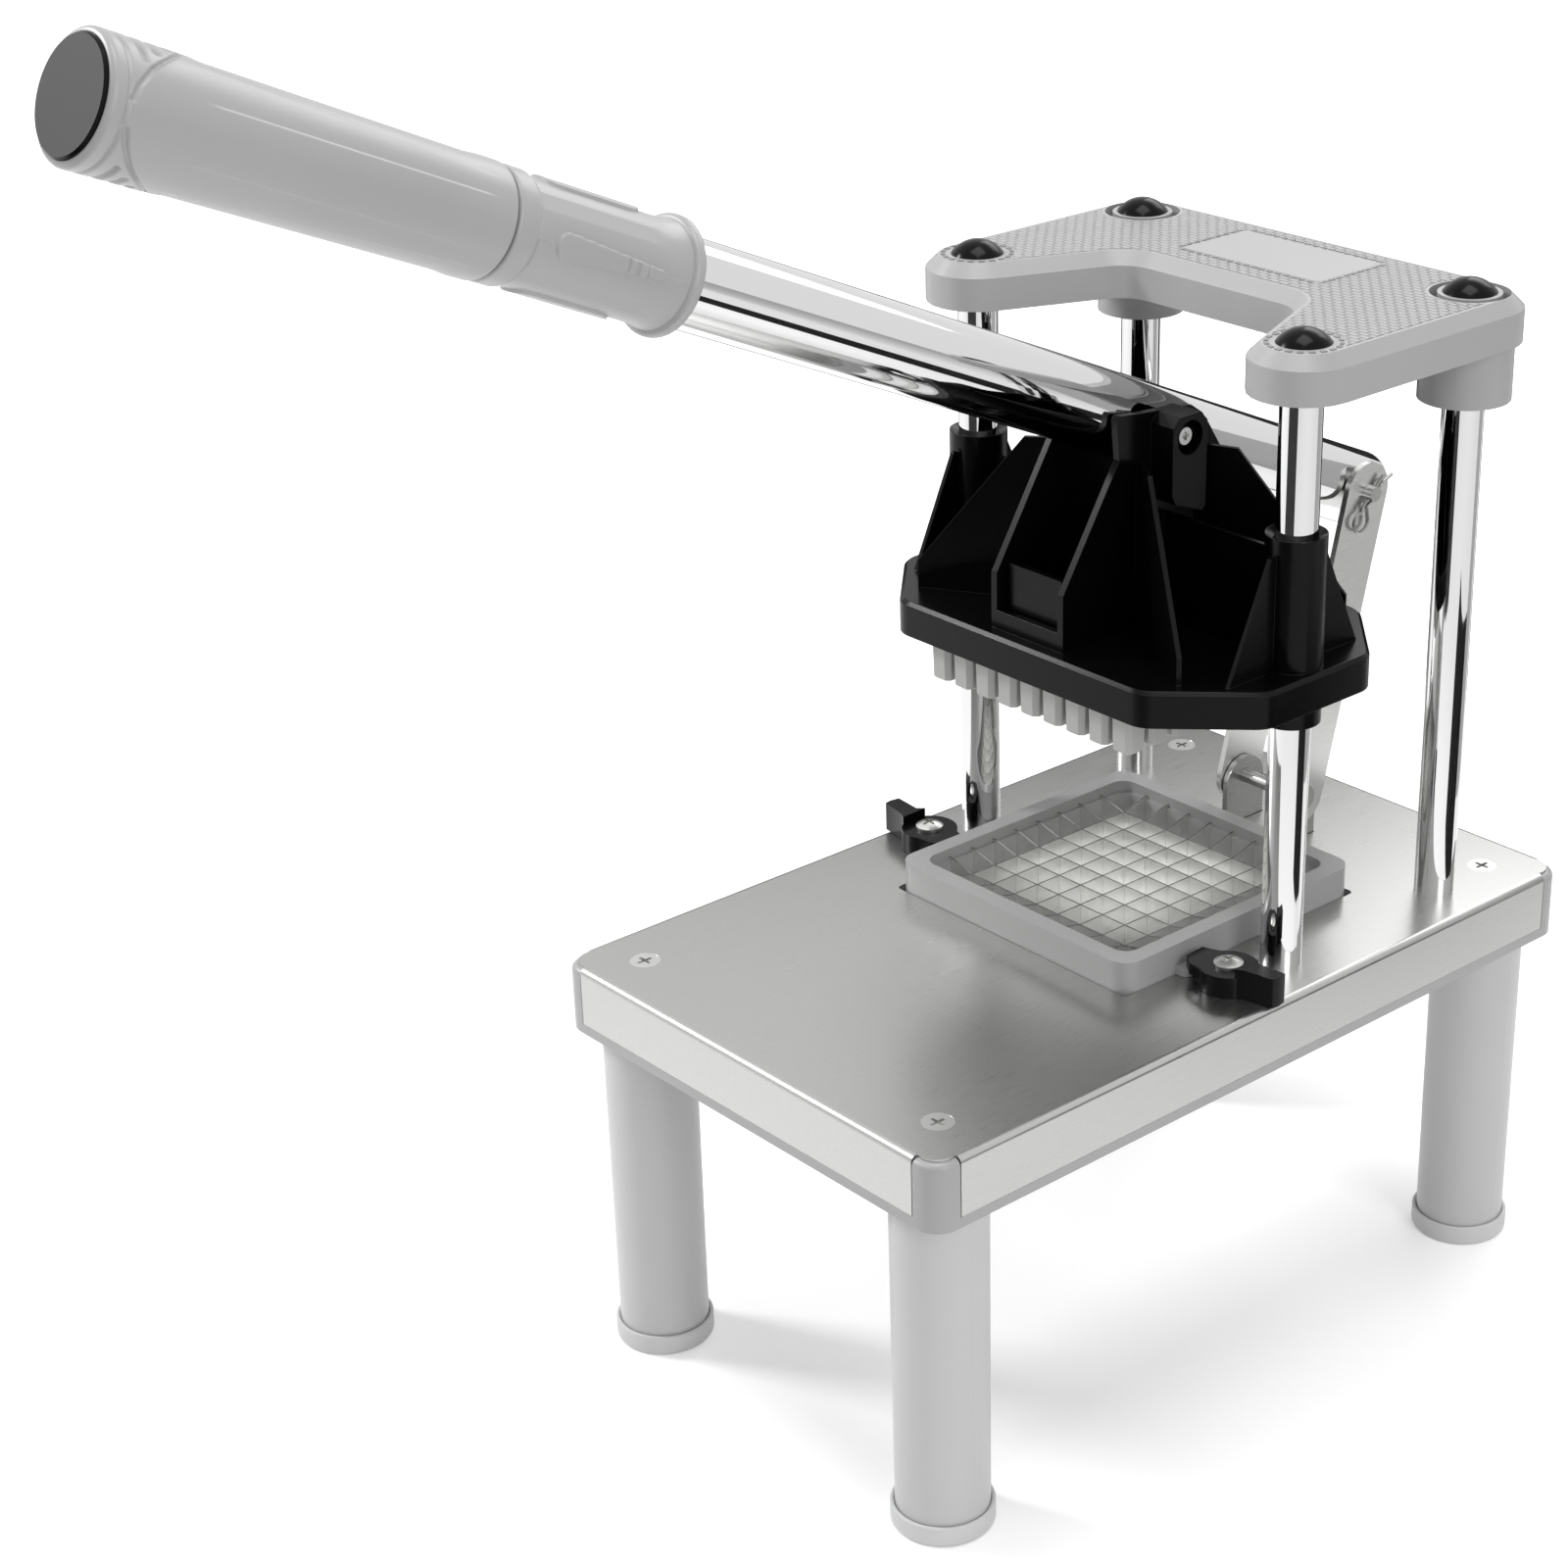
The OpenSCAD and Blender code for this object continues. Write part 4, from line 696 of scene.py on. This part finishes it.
def make_panel(grey, recess_shade_paint):
    """The blank panel of the top plate, with a row of dashes round it, drawn as dark bars: painted shade of
    their recesses.
    """
    # In mm: the panel seen from above, then its thickness and how far its middle lies below the plate's top
    middle_x, middle_y, half_x, half_y = 1.5, 87.2, 28.5, 14.8
    corner_r, thick, lowered = 2.0, 0.6, 0.15
    shape = bmesh.new()
    made = bmesh.ops.create_cube(shape, size=1.0)["verts"]
    bmesh.ops.scale(shape, verts=made, vec=(2 * half_x * MM, 2 * half_y * MM, thick * MM))
    bmesh.ops.translate(shape, verts=made, vec=(middle_x * MM, middle_y * MM, PLATE_TOP - lowered * MM))
    upright = [e for e in shape.edges if abs(e.verts[0].co.z - e.verts[1].co.z) > thick * MM / 2]
    bmesh.ops.bevel(shape, geom=upright, offset=corner_r * MM, affect="EDGES", segments=4, profile=0.5,
                    material=-1)
    finished(shape, "panel", "top_plate", [grey])

    # The dashes are low bars in the darker grey: painted shade of small recesses
    pitch, away, dash_size, lift = 3.3, 1.3, (2.1, 0.9, 0.4), 0.1
    places = []
    for side in (-1, 1):
        count = round(2 * half_x / pitch)
        places += [(middle_x + (i - (count - 1) / 2) * pitch, middle_y + side * (half_y + away), 0.0)
                   for i in range(count)]
        count = round(2 * half_y / pitch)
        places += [(middle_x + side * (half_x + away), middle_y + (i - (count - 1) / 2) * pitch,
                    math.radians(90)) for i in range(count)]
    stamp_boxes(places, dash_size, lift, "panel_dashes_painted_shade", recess_shade_paint)


def make_cap_scallops(recess_shade_paint):
    """The ring of scallops round each front cap, drawn as dark bars: painted shade of their notches."""
    ring_r, count, size, lift = 10.9, 20, (1.3, 1.9, 0.4), 0.05
    places = [(side * CAP_X + ring_r * math.cos(turn), FRONT_CAP_Y + ring_r * math.sin(turn), turn)
              for side in (-1, 1) for turn in [math.tau * i / count for i in range(count)]]
    stamp_boxes(places, size, lift, "cap_scallops_painted_shade", recess_shade_paint)


def paint(material, *nodes):
    """Gives CAD nodes that keep their own shape one finish."""
    for name in nodes:
        slots = frame["nodes"][name].data.materials
        slots.clear()
        slots.append(material)


def paint_metal():
    """Finishes the metal pieces, which all keep the shape of their CAD node."""
    # Brushed stainless sheet: pale and plain, with soft reflections under fine lines
    paint(brushed_stainless("brushed_stainless", STEEL, STEEL_SHADE), "cover_sheet", "ear_bracket")
    # Stainless bar: the same lines, painted brighter than the sheet as painted light for what the bars
    # reflect
    paint(brushed_stainless("link_stainless_painted_bright", LINK_PAINTED_BRIGHT, LINK_PAINTED_BRIGHT_SHADE), "link_left", "link_right")
    # Drawn spring wire: darker than the pin that it holds
    paint(even_metal("spring_steel", SPRING, roughness=0.3), "spring_clip")
    paint(ground_blade_steel(), "blades_lengthwise", "blades_crosswise")
    paint(bright_zinc(), "pillar_nuts", "pillar_washers", "top_screws", "clamp_nuts",
          "bracket_screws", "base_axle", "axle_clips", "clevis_pin")
    # Pale zinc plating on the cross-head screws: light and even
    paint(even_metal("pale_zinc", SCREW, roughness=0.34), "pivot_screw", "leg_screws", "clamp_screws")
    # Blackened steel: nearly black, with a dull shine
    paint(even_metal("blackened_steel", BLACKENED, roughness=0.4), "pivot_sleeve_nut")
    paint(polished_chrome(), "lever_tube", *[f"pillar_{corner}" for corner in CORNERS])


def dress_plastic():
    """Finishes the moulded pieces. Some keep the shape of their CAD node, and the others get a finer one."""
    # Lightly textured grey ABS: a broad, soft shine
    grey = moulded_plastic("grey_moulded_abs", GREY, GREY_SHADE, smooth=0.3, rough=0.4)
    # Paler grey ABS of the legs, as softly shining
    leg_grey = moulded_plastic("grey_leg_abs", LEG, LEG_SHADE, smooth=0.32, rough=0.42)
    # Pale, slightly warm ABS of the pushing block, a little more matt
    pale = moulded_plastic("pale_moulded_abs", PALE, PALE_SHADE, smooth=0.36, rough=0.46)
    # Black ABS: deep black, with a narrow shine along its edges
    black = moulded_plastic("black_moulded_abs", BLACK, BLACK_SHADE, smooth=0.2, rough=0.28, gloss=0.13)
    # Black ABS of the caps, moulded in a polished tool: the sharpest shine of the plastics
    cap_black = moulded_plastic("black_cap_abs", BLACK, BLACK_SHADE, smooth=0.14, rough=0.2, gloss=0.12)
    # Dark grey ABS with a matt face: nearly no shine
    cap_face = moulded_plastic("dark_grey_cap", CAP_FACE, CAP_FACE_SHADE, smooth=0.45, rough=0.55,
                               gloss=0.15)
    # Painted shade: grey ABS darkened to the shade of small recesses, drawn as darker lines on the plate
    recess_shade_paint = moulded_plastic("grey_abs_painted_recess_shade", PAINTED_RECESS_SHADE, PAINTED_RECESS_SHADE_DARKER, smooth=0.4, rough=0.5)
    # Pale moulded rubber: matt, with a deeper grain than the plastics
    rubber = moulded_plastic("foot_rubber", RUBBER, RUBBER_SHADE, smooth=0.45, rough=0.6,
                             grain_mm=0.4, depth_mm=0.01)
    paint(leg_grey, *[f"leg_{corner}" for corner in CORNERS])
    paint(rubber, *[f"foot_{corner}" for corner in CORNERS])
    paint(grey, "tube_plug")
    make_grip(grey)
    make_collar(grey)
    # The end disc's sides take the black ABS as painted shade of the gap round them
    make_end_cap(cap_face, black)
    soften("top_plate", "plate", grey, width_mm=0.5)
    make_lozenge_field(lozenge_plastic())
    make_panel(grey, recess_shade_paint)
    make_cap_scallops(recess_shade_paint)
    soften("base_tray", "tray", grey, width_mm=0.4)
    soften("cartridge_frame", "blade_frame", grey, width_mm=0.5)
    soften("pusher_block", "pushing_block", pale, width_mm=0.3)
    soften("pusher_head", "head", black, width_mm=0.4)
    soften("clamp_left", "left_clamp", black, width_mm=0.4)
    soften("clamp_right", "right_clamp", black, width_mm=0.4)
    paint(cap_black, "top_caps")


bpy.context.scene.view_settings.view_transform = "Standard"
make_camera()
make_studio()
paint_metal()
dress_plastic()
